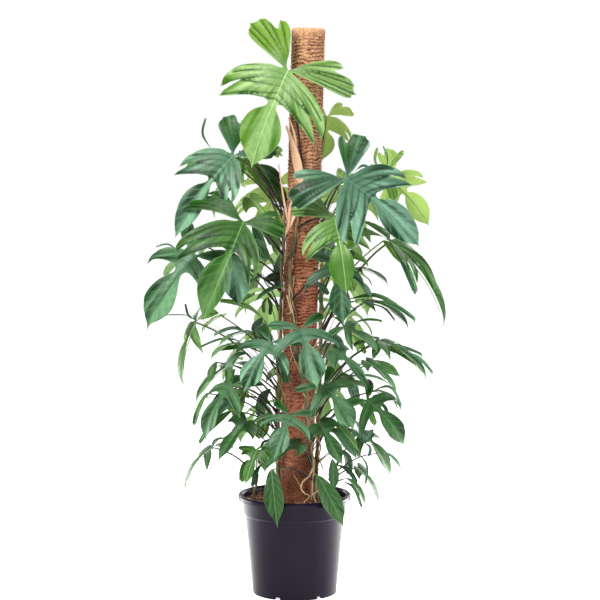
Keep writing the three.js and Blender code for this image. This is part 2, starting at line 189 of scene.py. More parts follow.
def ramp(tree, value, start, end):
    return between(tree, value, 0.0, 1.0, (start, end))


def stretched(tree, where, scale):
    return addNode(tree, "Mapping", {"Vector": where, "Scale": scale}).outputs[0]


def axesOf(tree, vector):
    return addNode(tree, "SeparateXYZ", {"Vector": vector}).outputs


def onPiece(tree):
    return tree.nodes.new("ShaderNodeTexCoord").outputs["Object"]


def onBlade(tree):
    return addNode(tree, "UVMap", {}, uv_map="blade").outputs[0]


def painted(tree, layer):
    attribute = addNode(tree, "Attribute", {}, attribute_name=layer)
    parts = addNode(tree, "SeparateColor", {"Color": attribute.outputs["Color"]})
    return [*parts.outputs[:3], attribute.outputs["Alpha"]]


def dressed(tree, inputs, tone, height, strength, distance):
    bump = addNode(tree, "Bump", {"Height": height, "Strength": strength, "Distance": distance})
    tree.links.new(tone, inputs["Base Color"])
    tree.links.new(bump.outputs[0], inputs["Normal"])


def rgb(red, green, blue):
    return tuple((c / 255) ** 2.2 for c in (red, green, blue)) + (1.0,)


# camera, light and floor
cameraPlace = {"at": (0.0134, -5.0, 1.213), "down": 5.56, "lens": 123}
bpy.ops.object.camera_add(
    location=cameraPlace["at"], rotation=(math.radians(90 - cameraPlace["down"]), 0, 0)
)
camera = bpy.context.object
camera.data.lens = cameraPlace["lens"]
camera.data.sensor_width = 36
bpy.context.scene.camera = camera

softboxes = [  # place, what it points at, width, height, watts
    [(-1.3, -2.7, 2.9), (0, 0, 0.8), 1.2, 1.2, 205],
    [(2.2, -2.4, 1.7), (0, 0, 0.8), 1.0, 1.6, 42],
    [(0.2, 0.3, 3.4), (0, 0, 0.9), 1.6, 1.6, 80],
    [(-0.9, 2.4, 1.6), (0, 0, 0.8), 1.2, 1.8, 24],
    [(1.1, 2.2, 1.2), (0, 0, 0.8), 1.2, 1.8, 18],
    [(-0.8, 0.36, 0.24), (0, 0, 0.1), 0.7, 0.46, 9],
    [(0.85, 0.3, 0.24), (0, 0, 0.1), 0.9, 0.46, 20],
]
for place, aim, width, height, watts in softboxes:
    bpy.ops.object.light_add(type="AREA", location=place)
    softbox = bpy.context.object
    softbox.data.shape = "RECTANGLE"
    softbox.data.size, softbox.data.size_y, softbox.data.energy = width, height, watts
    softbox.rotation_euler = (Vector(aim) - Vector(place)).to_track_quat("-Z", "Y").to_euler()
    softbox.visible_camera = False

backdrop = {"room": 0.13, "behind": 0.42, "seen": 1.0}  # its light: in front, behind, as the camera sees it
world = bpy.data.worlds.new("studio")
bpy.context.scene.world = world
world.use_nodes = True
tree = world.node_tree
sky = tree.nodes["Background"]
seen = addNode(tree, "LightPath", {}).outputs["Is Camera Ray"]
towards = addNode(tree, "TexCoord", {}).outputs["Generated"]
behind = between(tree, axesOf(tree, towards)[1], -0.1, 0.2, (backdrop["room"], backdrop["behind"]))
glow = addNode(tree, "Mix", {0: seen, 2: behind, 3: backdrop["seen"]}, data_type="FLOAT").outputs[0]
tree.links.new(glow, sky.inputs["Strength"])
sky.inputs["Color"].default_value = (1.0, 1.0, 1.0, 1.0)

studioFloor = {"size": 40, "below": -0.5 * mm, "glow": 0.1, "seenGlow": 0.8}
bpy.ops.mesh.primitive_plane_add(size=studioFloor["size"], location=(0, 0, studioFloor["below"]))
floor = bpy.context.object
floor.name = "studio_floor"
floorFinish, tree, inputs = newFinish(
    "studio floor paint", Roughness=0.9, Specular_IOR_Level=0.1, Emission_Color=(1, 1, 1, 1)
)
floorTone = grain(tree, onPiece(tree), 3.0)
tree.links.new(mixed(tree, floorTone, (0.93, 0.93, 0.93, 1), (0.95, 0.95, 0.95, 1)), inputs["Base Color"])
seen = addNode(tree, "LightPath", {}).outputs["Is Camera Ray"]
tree.links.new(ramp(tree, seen, studioFloor["glow"], studioFloor["seenGlow"]), inputs["Emission Strength"])
floor.data.materials.append(floorFinish)
print("stage: studio ready")


# leaf finish. The paint attribute holds a leaf's age, how far a lobe stands up, a chance and, as alpha, the
# way in from the edge. The lines attribute holds how near a furrow and a side vein are, how high the pleat
# stands and, as alpha, the way to a sharp tip.
leafTones = {  # age, then the deep and the pale tone at that age; where wax shows, the pale tone is waxy bloom and painted sheen
    "fresh": (0.0, rgb(60, 98, 16), rgb(146, 174, 118)),
    "young": (0.3, rgb(32, 76, 8), rgb(124, 158, 92)),
    "grown": (0.6, rgb(6, 42, 4), rgb(100, 142, 86)),
    "old": (0.95, rgb(2, 40, 18), rgb(122, 166, 138)),
}
leafLook = {
    "fan": (8.0, 1.2, 60.0),  # streaks of wax and painted sheen: how many side by side, how short, how different on each leaf
    "evenWaxSheen": 0.4, "evenTo": (0.12, 0.42),  # round the joint, as a way along the blade
    "streaked": (0.37, 0.63), "speckles": 90.0,
    "endLobe": (0.36, 0.46), "youngEndLobe": (0.26, 0.4),  # end lobes with less wax and painted sheen start here
    "waxSheenFrom": (0.26, 0.52), "waxSheenByHeight": (0.5, 1.1),  # low leaves are duller, with less wax and painted sheen, by height in metres
    "grassPatches": 10.0, "grassTint": (2.4, 1.6, 0.4), "standing": rgb(40, 90, 16),
    # the furrow tint is painted shade in the furrows
    "furrowShadeTint": (0.08, 0.17, 0.1), "furrowEdge": (3.4, 2.4),
    "veinEdge": 6.0, "veinPart": (0.4, 0.26),
    "rim": (0.04, 0.012), "rimPart": 0.22, "rib": (0.0075, 0.0035), "ribPart": 0.6,
    "dryTip": rgb(38, 34, 18),
    "underYoung": rgb(170, 198, 108), "underOld": rgb(92, 134, 78), "underPart": 0.75,
    "poleLean": 0.024, "poleShade": (0.06, 0.15), "poleShadeTint": (0.42, 0.46, 0.4),  # painted shade: leaves darker close to the pole
    "gloss": (0.36, 0.5), "cells": 700.0, "cellDepth": 0.4 * mm,
}


def byAge(tree, age, which):
    tones = list(leafTones.values())
    made = tones[0][which]
    for (low, *_), (high, *pair) in zip(tones, tones[1:]):
        made = mixed(tree, between(tree, age, low, high), made, pair[which - 1])
    return made


# wax: partly the leaf's pale waxy bloom, partly painted sheen, in streaks along the lobes and most on the
# pleat crowns
def waxAndSheenOn(tree, place, blade, layers):
    look = leafLook
    (x, y), (age, upright, chance, crown) = blade, layers
    across, short, varied = look["fan"]
    angle = times(tree, maths(tree, "ARCTAN2", x, y), across)
    reach = maths(tree, "SQRT", maths(tree, "ADD", times(tree, x, x), times(tree, y, y)))
    fan = {0: angle, 1: times(tree, reach, short), 2: times(tree, chance, varied)}
    streaks = grain(tree, addNode(tree, "CombineXYZ", fan).outputs[0], 1.0, 2.0, 0.45)
    even = (*[look["evenWaxSheen"]] * 3, 1)
    streaked = between(tree, streaks, *look["streaked"])
    waxAndSheen = mixed(tree, between(tree, reach, *look["evenTo"]), even, streaked)
    speckle = between(tree, grain(tree, place, look["speckles"], 4.0, 0.6), 0.32, 0.68, (0.8, 1.12))
    # the painted sheen sits on the pleat crowns, less down in the furrows
    onPleat = between(tree, crown, 0.0, 0.8, (0.6, 1.0))
    waxAndSheen = times(tree, waxAndSheen, onPleat, speckle, ramp(tree, chance, 0.3, 1.0))
    waxAndSheen = maths(tree, "MULTIPLY", waxAndSheen, ramp(tree, upright, 1.0, 0.14), True)
    darkEnd = times(tree, between(tree, chance, 0.9, 0.94), between(tree, y, *look["endLobe"]))
    youngEnd = times(tree, between(tree, age, 0.45, 0.32), between(tree, y, *look["youngEndLobe"]))
    byHeight = between(tree, axesOf(tree, place)[2], *look["waxSheenFrom"], look["waxSheenByHeight"])
    return times(tree, waxAndSheen, ramp(tree, darkEnd, 1.0, 0.25), ramp(tree, youngEnd, 1.0, 0.6), byHeight)


# how far a point is out of the painted shade round the pole: 0 close to it, 1 further out
def nearPole(tree, place):
    at = axesOf(tree, place)
    aside = maths(tree, "SUBTRACT", at[0], times(tree, at[2], leafLook["poleLean"]))
    level = addNode(tree, "CombineXYZ", {0: aside, 1: at[1]}).outputs[0]
    far = addNode(tree, "VectorMath", {0: level}, operation="LENGTH").outputs["Value"]
    return between(tree, far, *leafLook["poleShade"])


def leafFinish(name, under):
    made, tree, inputs = newFinish(
        name, Roughness=0.6, Specular_IOR_Level=0.2, Subsurface_Weight=0.12,
        Subsurface_Radius=(0.3, 0.8, 0.1), Subsurface_Scale=2 * mm,
    )
    look, place = leafLook, onPiece(tree)
    age, upright, chance, fromEdge = painted(tree, "paint")
    furrow, vein, crown, fromTip = painted(tree, "lines")
    x, y = (maths(tree, "SUBTRACT", axis, 0.5) for axis in axesOf(tree, onBlade(tree))[:2])
    deep, pale = byAge(tree, age, 1), byAge(tree, age, 2)
    patches = between(tree, grain(tree, place, look["grassPatches"], 2.0), 0.4, 0.64)
    grassy = times(tree, patches, ramp(tree, chance, 1.0, 0.3))
    grassy = maths(tree, "MAXIMUM", grassy, times(tree, upright, 0.95))
    deep = mixed(tree, grassy, deep, tinted(tree, deep, look["grassTint"]))
    # the pale tone mixed in here is waxy bloom and painted sheen
    body = mixed(tree, waxAndSheenOn(tree, place, (x, y), (age, upright, chance, crown)), deep, pale)

    mature = between(tree, age, 0.3, 0.6)
    body = mixed(tree, times(tree, upright, ramp(tree, mature, 0.0, 0.5)), body, look["standing"])
    # painted shade darkens the furrows
    sunk = maths(tree, "POWER", furrow, between(tree, age, 0.25, 0.5, look["furrowEdge"]))
    body = mixed(tree, times(tree, sunk, 0.95), body, tinted(tree, body, look["furrowShadeTint"]))
    veinTone = mixed(tree, mature, mixed(tree, 0.5, body, deep), pale)
    drawn = maths(tree, "POWER", vein, look["veinEdge"])
    drawn = times(tree, drawn, ramp(tree, mature, *look["veinPart"]))
    body = mixed(tree, drawn, body, veinTone)
    body = mixed(tree, between(tree, fromTip, 0.9, 0.2), body, look["dryTip"])
    if under:
        underTone = mixed(tree, between(tree, age, 0.1, 0.7), look["underYoung"], look["underOld"])
        body = mixed(tree, look["underPart"], body, underTone)
    else:
        gloss = between(tree, grain(tree, place, 60.0), 0.3, 0.7, look["gloss"])
        tree.links.new(gloss, inputs["Roughness"])
        rim = times(tree, between(tree, fromEdge, *look["rim"]), look["rimPart"])
        body = mixed(tree, rim, body, pale)
    rib = times(tree, between(tree, maths(tree, "ABSOLUTE", x), *look["rib"]), look["ribPart"])
    ribTone = mixed(tree, between(tree, age, 0.35, 0.7), pale, mixed(tree, 0.45, deep, pale))
    body = mixed(tree, rib, body, ribTone)
    # painted shade near the pole, young leaves kept out of it
    lit = maths(tree, "MAXIMUM", nearPole(tree, place), between(tree, age, 0.4, 0.1))
    body = mixed(tree, lit, tinted(tree, body, look["poleShadeTint"]), body)
    dressed(tree, inputs, body, grain(tree, place, look["cells"], 3.0, 0.6), 0.12, look["cellDepth"])
    return made


leafTop = leafFinish("waxy leaf face", False)
leafUnder = leafFinish("leaf underside", True)


def stalkFinish():
    made, tree, inputs = newFinish("petiole skin", Roughness=0.5, Specular_IOR_Level=0.3)
    age, along, *_ = painted(tree, "paint")
    stripe = grain(tree, onPiece(tree), 120.0, 3.0)
    dark = mixed(tree, stripe, rgb(12, 6, 8), rgb(40, 20, 18))
    green = mixed(tree, age, rgb(92, 118, 40), rgb(48, 70, 32))
    body = mixed(tree, between(tree, along, 0.12, 0.42), green, dark)
    dressed(tree, inputs, body, stripe, 0.2, 0.6 * mm)
    return made


def barkFinish():
    made, tree, inputs = newFinish("stem bark", Roughness=0.72)
    place = onPiece(tree)
    patches = grain(tree, place, 26.0, 4.0, 0.6)
    fibres = grain(tree, stretched(tree, place, (260.0, 260.0, 40.0)), 1.0, 3.0)
    tan = mixed(tree, fibres, rgb(70, 48, 30), rgb(132, 104, 70))
    olive = mixed(tree, fibres, rgb(40, 42, 22), rgb(84, 84, 44))
    body = mixed(tree, between(tree, patches, 0.42, 0.58), tan, olive)
    dressed(tree, inputs, body, fibres, 0.6, 1.2 * mm)
    return made


def sheathFinish():
    made, tree, inputs = newFinish("papery sheath", Roughness=0.65)
    lines = grain(tree, stretched(tree, onBlade(tree), (260.0, 6.0, 1.0)), 1.0, 3.0)
    body = mixed(tree, lines, rgb(150, 106, 82), rgb(214, 178, 146))
    dressed(tree, inputs, body, lines, 0.5, 0.8 * mm)
    return made


petioleSkin = stalkFinish()
stemBark = barkFinish()
paperySheath = sheathFinish()

# leaf shapes, half of each: (across, along) in leaf lengths from the tip round to the joint, a third value
# marks a point that stays sharp. Veins run from the rib outwards: start, bend, end.
leafShapes = {
    "grand": {
        "edge": [
            (0, 1.02, 1), (0.008, 0.985), (0.03, 0.95), (0.085, 0.89), (0.145, 0.81), (0.188, 0.72),
            (0.2, 0.63), (0.18, 0.54), (0.13, 0.455), (0.07, 0.4), (0.046, 0.365), (0.06, 0.335),
            (0.12, 0.325), (0.21, 0.355), (0.31, 0.405), (0.42, 0.458), (0.545, 0.51, 1), (0.5, 0.435),
            (0.44, 0.36), (0.39, 0.3), (0.375, 0.272), (0.41, 0.28), (0.48, 0.335), (0.57, 0.41, 1),
            (0.56, 0.32), (0.51, 0.23), (0.42, 0.145), (0.3, 0.08), (0.17, 0.035), (0.055, 0.008),
            (0.12, -0.01), (0.24, -0.045), (0.36, -0.085), (0.47, -0.13), (0.545, -0.175),
            (0.59, -0.225, 1), (0.575, -0.25), (0.615, -0.3, 1), (0.545, -0.307), (0.525, -0.365, 1),
            (0.46, -0.37), (0.38, -0.345), (0.3, -0.305), (0.275, -0.31), (0.3, -0.35), (0.32, -0.41, 1),
            (0.25, -0.405), (0.175, -0.35), (0.115, -0.25), (0.07, -0.14), (0.035, -0.035), (0, 0, 1),
        ],
        "veins": [
            [(0, 0.42), (0.05, 0.47), (0.13, 0.52)], [(0, 0.5), (0.08, 0.58), (0.175, 0.65)],
            [(0, 0.6), (0.08, 0.68), (0.165, 0.76)], [(0, 0.7), (0.06, 0.78), (0.12, 0.85)],
            [(0, 0.8), (0.04, 0.87), (0.065, 0.915)],
        ],
        "mains": [
            [(0, 0.24), (0.2, 0.31), (0.515, 0.48)], [(0, 0.3), (0.12, 0.325), (0.33, 0.4)],
            [(0, 0.17), (0.18, 0.22), (0.36, 0.275)], [(0, 0.1), (0.24, 0.16), (0.545, 0.38)],
            [(0, 0.05), (0.22, 0.09), (0.49, 0.24)],
            [(0.011, -0.006), (0.25, -0.06), (0.565, -0.22)],
            [(0.01, -0.012), (0.25, -0.12), (0.585, -0.285)],
            [(0.008, -0.018), (0.22, -0.17), (0.505, -0.345)],
            [(0.006, -0.022), (0.15, -0.17), (0.4, -0.34)],
            [(0.004, -0.026), (0.11, -0.2), (0.3, -0.385)],
        ],
        "grid": 0.021,
    },
    "broad": {
        "edge": [
            (0, 1.03, 1), (0.008, 0.985), (0.03, 0.935), (0.09, 0.87), (0.155, 0.79), (0.2, 0.69),
            (0.19, 0.58), (0.15, 0.46), (0.09, 0.36), (0.055, 0.3), (0.07, 0.25), (0.12, 0.228),
            (0.22, 0.24), (0.34, 0.285), (0.46, 0.345), (0.56, 0.41, 1), (0.52, 0.3), (0.46, 0.2),
            (0.37, 0.125), (0.25, 0.07), (0.13, 0.03), (0.055, 0.008), (0.13, -0.012), (0.24, -0.05),
            (0.34, -0.1), (0.42, -0.18), (0.46, -0.29, 1), (0.38, -0.295), (0.3, -0.265), (0.2, -0.2),
            (0.1, -0.11), (0.04, -0.04), (0, 0, 1),
        ],
        "veins": [
            [(0, 0.38), (0.05, 0.44), (0.14, 0.5)], [(0, 0.48), (0.08, 0.56), (0.178, 0.65)],
            [(0, 0.6), (0.08, 0.68), (0.155, 0.78)], [(0, 0.72), (0.055, 0.79), (0.1, 0.87)],
            [(0, 0.19), (0.12, 0.215), (0.34, 0.3)], [(0, 0.06), (0.2, 0.1), (0.44, 0.23)],
            [(0.01, -0.006), (0.17, -0.03), (0.33, -0.12)], [(0.005, -0.02), (0.12, -0.13), (0.3, -0.25)],
        ],
        "mains": [
            [(0, 0.12), (0.25, 0.18), (0.54, 0.39)], [(0.008, -0.014), (0.2, -0.08), (0.445, -0.272)],
        ],
        "grid": 0.025,
    },
    "trident": {
        "edge": [
            (0, 1.04, 1), (0.009, 0.98), (0.03, 0.915), (0.08, 0.83), (0.128, 0.73), (0.148, 0.62),
            (0.142, 0.5), (0.11, 0.38), (0.078, 0.29), (0.085, 0.245), (0.14, 0.21), (0.22, 0.195),
            (0.3, 0.21), (0.38, 0.245, 1), (0.37, 0.16), (0.335, 0.06), (0.27, -0.02), (0.2, -0.065),
            (0.13, -0.08), (0.06, -0.05), (0, 0, 1),
        ],
        "veins": [
            [(0, 0.34), (0.05, 0.4), (0.12, 0.46)], [(0, 0.46), (0.06, 0.54), (0.138, 0.62)],
            [(0, 0.6), (0.06, 0.68), (0.12, 0.76)], [(0, 0.74), (0.04, 0.8), (0.08, 0.85)],
            [(0, 0.18), (0.1, 0.19), (0.22, 0.21)], [(0, 0.02), (0.12, 0.0), (0.3, 0.05)],
        ],
        "mains": [[(0, 0.09), (0.15, 0.1), (0.36, 0.225)]],
        "grid": 0.032,
    },
    "slender": {
        "edge": [
            (0, 1.04, 1), (0.01, 0.975), (0.03, 0.91), (0.075, 0.83), (0.125, 0.73), (0.157, 0.61),
            (0.168, 0.5), (0.158, 0.38), (0.13, 0.25), (0.09, 0.13), (0.045, 0.04), (0, 0, 1),
        ],
        "veins": [
            [(0, 0.1), (0.06, 0.17), (0.125, 0.28)], [(0, 0.22), (0.07, 0.32), (0.152, 0.44)],
            [(0, 0.35), (0.07, 0.45), (0.15, 0.59)], [(0, 0.5), (0.065, 0.6), (0.127, 0.72)],
            [(0, 0.65), (0.045, 0.75), (0.08, 0.84)],
        ],
        "mains": [],
        "grid": 0.034,
    },
    "sheath": {
        "edge": [
            (0, 1, 1), (0.02, 0.85), (0.045, 0.65), (0.058, 0.4), (0.06, 0.2), (0.045, 0.05), (0, 0, 1),
        ],
        "veins": [[(0, 0.1), (0.03, 0.3), (0.03, 0.6)]],
        "mains": [],
        "grid": 0.04,
    },
}
blade = {  # in parts of a leaf's length, and in metres where it says mm
    "thick": 0.7 * mm, "cup": 1.1, "pleat": 0.012, "vein": 0.004, "fold": 0.07, "foldWide": 0.16,
    "wave": 0.022, "waveScale": 2.6, "ripple": 0.3, "rippleScale": 8.0, "rippleWide": 0.05,
    "uneven": 0.02, "unevenScale": 3.0, "sweep": 0.05, "tipCurl": 0.03, "curlLong": 0.16,
    "reliefWide": 0.04, "lineWide": 0.03, "jointFlat": (0.12, 0.22), "jointLines": 0.76,
    "dryTip": 6 * mm, "patternLong": 250 * mm, "finest": 3.0 * mm,
}


def traced(corners, step):
    line = []
    for i in range(len(corners) - 1):
        a, b = Vector(corners[i][:2]), Vector(corners[i + 1][:2])
        span = (b - a).length
        leave = b - a if len(corners[i]) > 2 else b - Vector(corners[i - 1][:2])
        arrive = b - a if len(corners[i + 1]) > 2 else Vector(corners[i + 2][:2]) - a
        count = max(1, round(span / step))
        for k in range(count):
            line.append(hermite(a, b, leave.normalized() * span, arrive.normalized() * span, k / count))
    return [(p.x, p.y) for p in line] + [corners[-1][:2]]


def bowed(vein, step):
    a, b, c = (np.array(p, float) for p in vein)
    count = max(3, round(np.linalg.norm(c - a) / step))
    ts = np.linspace(0, 1, count + 1)[:, None]
    return a * (1 - ts) ** 2 + 2 * b * ts * (1 - ts) + c * ts**2


def mirrored(lines):
    return [line * np.array([-1.0, 1.0]) for line in lines]


def nearest(points, line):
    if not len(line):
        return np.full(len(points), 9.0)
    return np.sqrt(((points[:, None, :] - line[None, :, :]) ** 2).sum(2)).min(1)


def inside(points, loop):
    x, y = points[:, 0], points[:, 1]
    held = np.zeros(len(points), bool)
    for (x0, y0), (x1, y1) in zip(loop, np.roll(loop, -1, axis=0)):
        if y0 != y1:
            held ^= ((y0 > y) != (y1 > y)) & (x < (x1 - x0) * (y - y0) / (y1 - y0) + x0)
    return held


def opened(points, spread):
    right = points[:, 0] > 0
    wide, swept = np.where(right, *spread[:2]), np.where(right, *(spread[2:] or [0, 0]))
    angle = np.arctan2(np.abs(points[:, 0]), points[:, 1]) * (1 - swept)
    reach = np.hypot(points[:, 0], points[:, 1])
    return np.column_stack([np.sign(points[:, 0]) * wide * reach * np.sin(angle), reach * np.cos(angle)])


def flatBlade(kind, spread, step):
    shape = leafShapes[kind]
    half = np.array(traced(shape["edge"], step * 0.62))
    left = half[1:-1][::-1] * np.array([-1.0, 1.0])
    loop = opened(np.vstack([half, left]), spread)
    veins = [bowed(v, step * 0.7) for v in shape["veins"]]
    mains = [bowed(v, step * 0.7) for v in shape["mains"]]
    veins = [opened(v, spread) for v in veins + mirrored(veins)]
    mains = [opened(v, spread) for v in mains + mirrored(mains)]
    rib = np.array([(0.0, y) for y in np.linspace(1.0, 0.0, max(6, round(1 / step)))])[1:-1]
    lines = [rib] + mains + veins
    every = np.vstack([loop] + lines)
    low, high = loop.min(0), loop.max(0)
    rows = []
    for j in range(int((high[1] - low[1]) / (step * 0.87)) + 1):
        y = low[1] + step * 0.87 * j
        xs = np.arange(low[0] + step * 0.5 * (j % 2), high[0], step)
        rows.append(np.column_stack([xs, np.full(len(xs), y)]))
    fill = np.vstack(rows)
    fill = fill[inside(fill, loop)]
    fill = fill[nearest(fill, every) > step * 0.5]
    points = np.vstack([every, fill])
    count = len(loop)
    edges = [(i, (i + 1) % count) for i in range(count)]
    first = count
    for line in lines:
        edges += [(first + k, first + k + 1) for k in range(len(line) - 1)]
        first += len(line)
    result = delaunay_2d_cdt([Vector(p) for p in points], edges, [], 1, 1e-6)
    flat = np.array([tuple(p) for p in result[0]])
    faces = np.array(result[2], int)
    turned = np.cross(flat[faces[:, 1]] - flat[faces[:, 0]], flat[faces[:, 2]] - flat[faces[:, 0]])
    faces[turned < 0] = faces[turned < 0][:, ::-1]
    used = np.unique(faces)
    renumbered = np.full(len(flat), -1)
    renumbered[used] = np.arange(len(used))
    tips = np.array([p[:2] for p in shape["edge"] if len(p) > 2][:-1])
    tips = opened(np.vstack([tips, tips * np.array([-1.0, 1.0])]), spread)
    return {
        "flat": flat[used], "faces": renumbered[faces], "tips": tips,
        "veins": densified(veins), "mains": densified(mains),
        "loop": densified([np.vstack([loop, loop[:1]])]),
    }


def densified(lines):
    if not lines:
        return np.zeros((0, 2))
    quarters = (0, 0.25, 0.5, 0.75)
    return np.vstack([line[:-1] * (1 - t) + line[1:] * t for line in lines for t in quarters])


def archedPoint(across, along, bend):
    turn = bend * along
    fall = (1 - np.cos(turn)) / bend
    out = np.sin(turn) / bend
    roll = blade["cup"] * across
    side = np.sin(roll) / blade["cup"]
    sink = (1 - np.cos(roll)) / blade["cup"]
    up = np.stack([0 * turn, np.sin(turn), np.cos(turn)], -1)
    point = np.stack([side, out, -fall], -1) - up * sink[..., None]
    normal = up * np.cos(roll)[..., None]
    normal[..., 0] += np.sin(roll)
    return point, normal


def bladeFrame(leaf):
    faces, lift, turn = (math.radians(leaf[key]) for key in ("faces", "lift", "turn"))
    lift += leaf["droop"] / 2
    out = Vector((math.sin(faces), -math.cos(faces), 0))
    side = Vector((math.cos(faces), math.sin(faces), 0))
    up = Vector((0, 0, 1))
    normal = out * math.cos(lift) + up * math.sin(lift)
    tip = (-up * math.cos(lift) + out * math.sin(lift)) * math.cos(turn) + side * math.sin(turn)
    turned = Matrix((tip.cross(normal), tip, normal)).transposed().to_4x4()
    return Matrix.Translation(Vector(leaf["at"]) * mm) @ turned


def noiseOver(points, scale, seed):
    spots = (Vector((x * scale + seed, y * scale - seed, seed * 0.37)) for x, y in points)
    return np.array([noise.noise(spot) for spot in spots])


def upTo(far, value):
    return np.clip(value / far, 0, 1)


def sunkLine(far, value):
    return np.sin(upTo(far, value) * math.pi / 2) - 1


def bladeMesh(leaf, number):
    long, spread = leaf["long"] * mm, leaf["spread"]
    step = max(leafShapes[leaf["kind"]]["grid"], blade["finest"] / long)
    made = flatBlade(leaf["kind"], spread, step)
    flat = made["flat"]
    across, along = flat[:, 0], flat[:, 1]
    main, vein, edge, tip = (nearest(flat, made[key]) for key in ("mains", "veins", "loop", "tips"))
    rib, shape = np.abs(across), blade
    flatTo, over = shape["jointFlat"]
    apart = upTo(over, np.hypot(across, along) - flatTo)  # furrows run flat into the joint
    crown = 1 + apart * sunkLine(shape["reliefWide"], main)
    calm = min(1, 0.5 * (spread[0] + spread[1])) ** 1.5
    relief = calm * shape["pleat"] * (crown - 1)
    relief += calm * shape["vein"] * sunkLine(shape["reliefWide"], np.minimum(vein, main))
    relief += shape["fold"] * (1 - np.exp(-rib / shape["foldWide"]))
    seed = 3.7 * number + 1.3
    free = upTo(0.3, rib) * 0.8 + 0.2 * np.clip(along, 0, 1)
    relief += calm * shape["wave"] * noiseOver(flat, shape["waveScale"], seed) * free
    ripple = shape["ripple"] * calm * shape["wave"] * noiseOver(flat, shape["rippleScale"], seed + 9)
    relief += ripple * np.exp(-edge / shape["rippleWide"])
    relief -= shape["tipCurl"] * np.clip(1 - tip / shape["curlLong"], 0, 1) ** 2
    draw = random.Random(number)
    sweep = draw.uniform(-shape["sweep"], shape["sweep"]) * along * np.abs(along)
    aside, ahead = (
        shape["uneven"] * noiseOver(flat, shape["unevenScale"], seed + more) * upTo(0.1, rib)
        for more in (20, 31)
    )
    across, along = across + sweep + aside, along + ahead
    point, normal = archedPoint(across, along, leaf["droop"])
    turned = np.array(bladeFrame(leaf))
    placed = (point + normal * relief[:, None]) * long @ turned[:3, :3].T + turned[:3, 3]
    every = np.ones(len(flat))
    upper = np.where(flat[:, 0] * leaf["turn"] < 0, 1.0, 0.2)
    upright = upTo(0.1, -0.02 - flat[:, 1]) * upper
    paint = np.stack([every * leaf["age"], upright, every * draw.random(), edge * 5], -1)
    strength = shape["jointLines"] + (1 - shape["jointLines"]) * apart
    furrow = (1 - upTo(shape["lineWide"], main)) * strength
    sideVein, fromTip = 1 - upTo(shape["lineWide"], vein), upTo(shape["dryTip"], tip * long)
    lines = np.stack([furrow, sideVein, crown, fromTip], -1)
    pattern = flat * long / shape["patternLong"]
    return {"points": placed, "faces": made["faces"], "paint": paint, "lines": lines, "uv": pattern}


# climbing stems: height and degrees round the pole from its front, in mm, as in the frame
climbs = {
    "stem_front": [
        [160, 58], [260, 58], [350, 44], [480, 22], [640, -18], [800, -34], [940, -16], [1015, 4],
    ],
    "stem_left": [[160, -62], [260, -62], [420, -80], [620, -84], [800, -78], [960, -64]],
    "stem_right": [[160, 102], [260, 102], [420, 92], [600, 82], [780, 76], [925, 66]],
    "stem_back_left": [[160, -122], [260, -122], [500, -136], [760, -128], [1090, -140]],
    "stem_back_right": [[160, 150], [260, 150], [500, 140], [760, 150], [1110, 134]],
}
shoots = {
    "shoot_left": [[-101, -18, 170], [-101, -18, 242], [-96, -26, 268], [-90, -36, 300]],
    "shoot_right": [[86, -48, 170], [86, -48, 242], [90, -50, 270], [96, -46, 312]],
}
climbing = {
    "off": 50, "foot": 6, "tip": 4.2, "shootFoot": 4, "shootTip": 3, "step": 6, "sides": 14,
    "nodeEvery": 58, "nodeSwell": (0.22, 4), "sway": 1.2, "bumps": 0.06, "slim": 0.92,
}
pole = {"radius": 39, "top": 1388, "soil": 231, "footX": 3.5, "lean": 1.5, "leansFrom": 260}


def poleX(z):
    return pole["footX"] + math.tan(math.radians(pole["lean"])) * (z - pole["soil"])


def roundPole(z, degrees, off):
    turn = math.radians(degrees)
    return Vector((poleX(max(z, pole["leansFrom"])) + off * math.sin(turn), -off * math.cos(turn), z))


def spanAt(rows, z, height):
    i = 0
    while i < len(rows) - 2 and z > rows[i + 1][height]:
        i += 1
    a, b = rows[i], rows[i + 1]
    return a, b, min(max((z - a[height]) / (b[height] - a[height]), 0), 1)


def climbAt(climb, z):
    a, b, t = spanAt(climb, z, 0)
    return roundPole(z, a[1] + (b[1] - a[1]) * t * t * (3 - 2 * t), climbing["off"])


def leavesAt(name, z):
    if name in climbs:
        return climbAt(climbs[name], z) * mm
    a, b, t = spanAt(shoots[name], z, 2)
    return Vector(a).lerp(Vector(b), t) * mm


def stalkMiddle(foot, joint):
    return foot.lerp(joint, 0.5) + Vector((0, 0, 0.1 * (joint - foot).length))


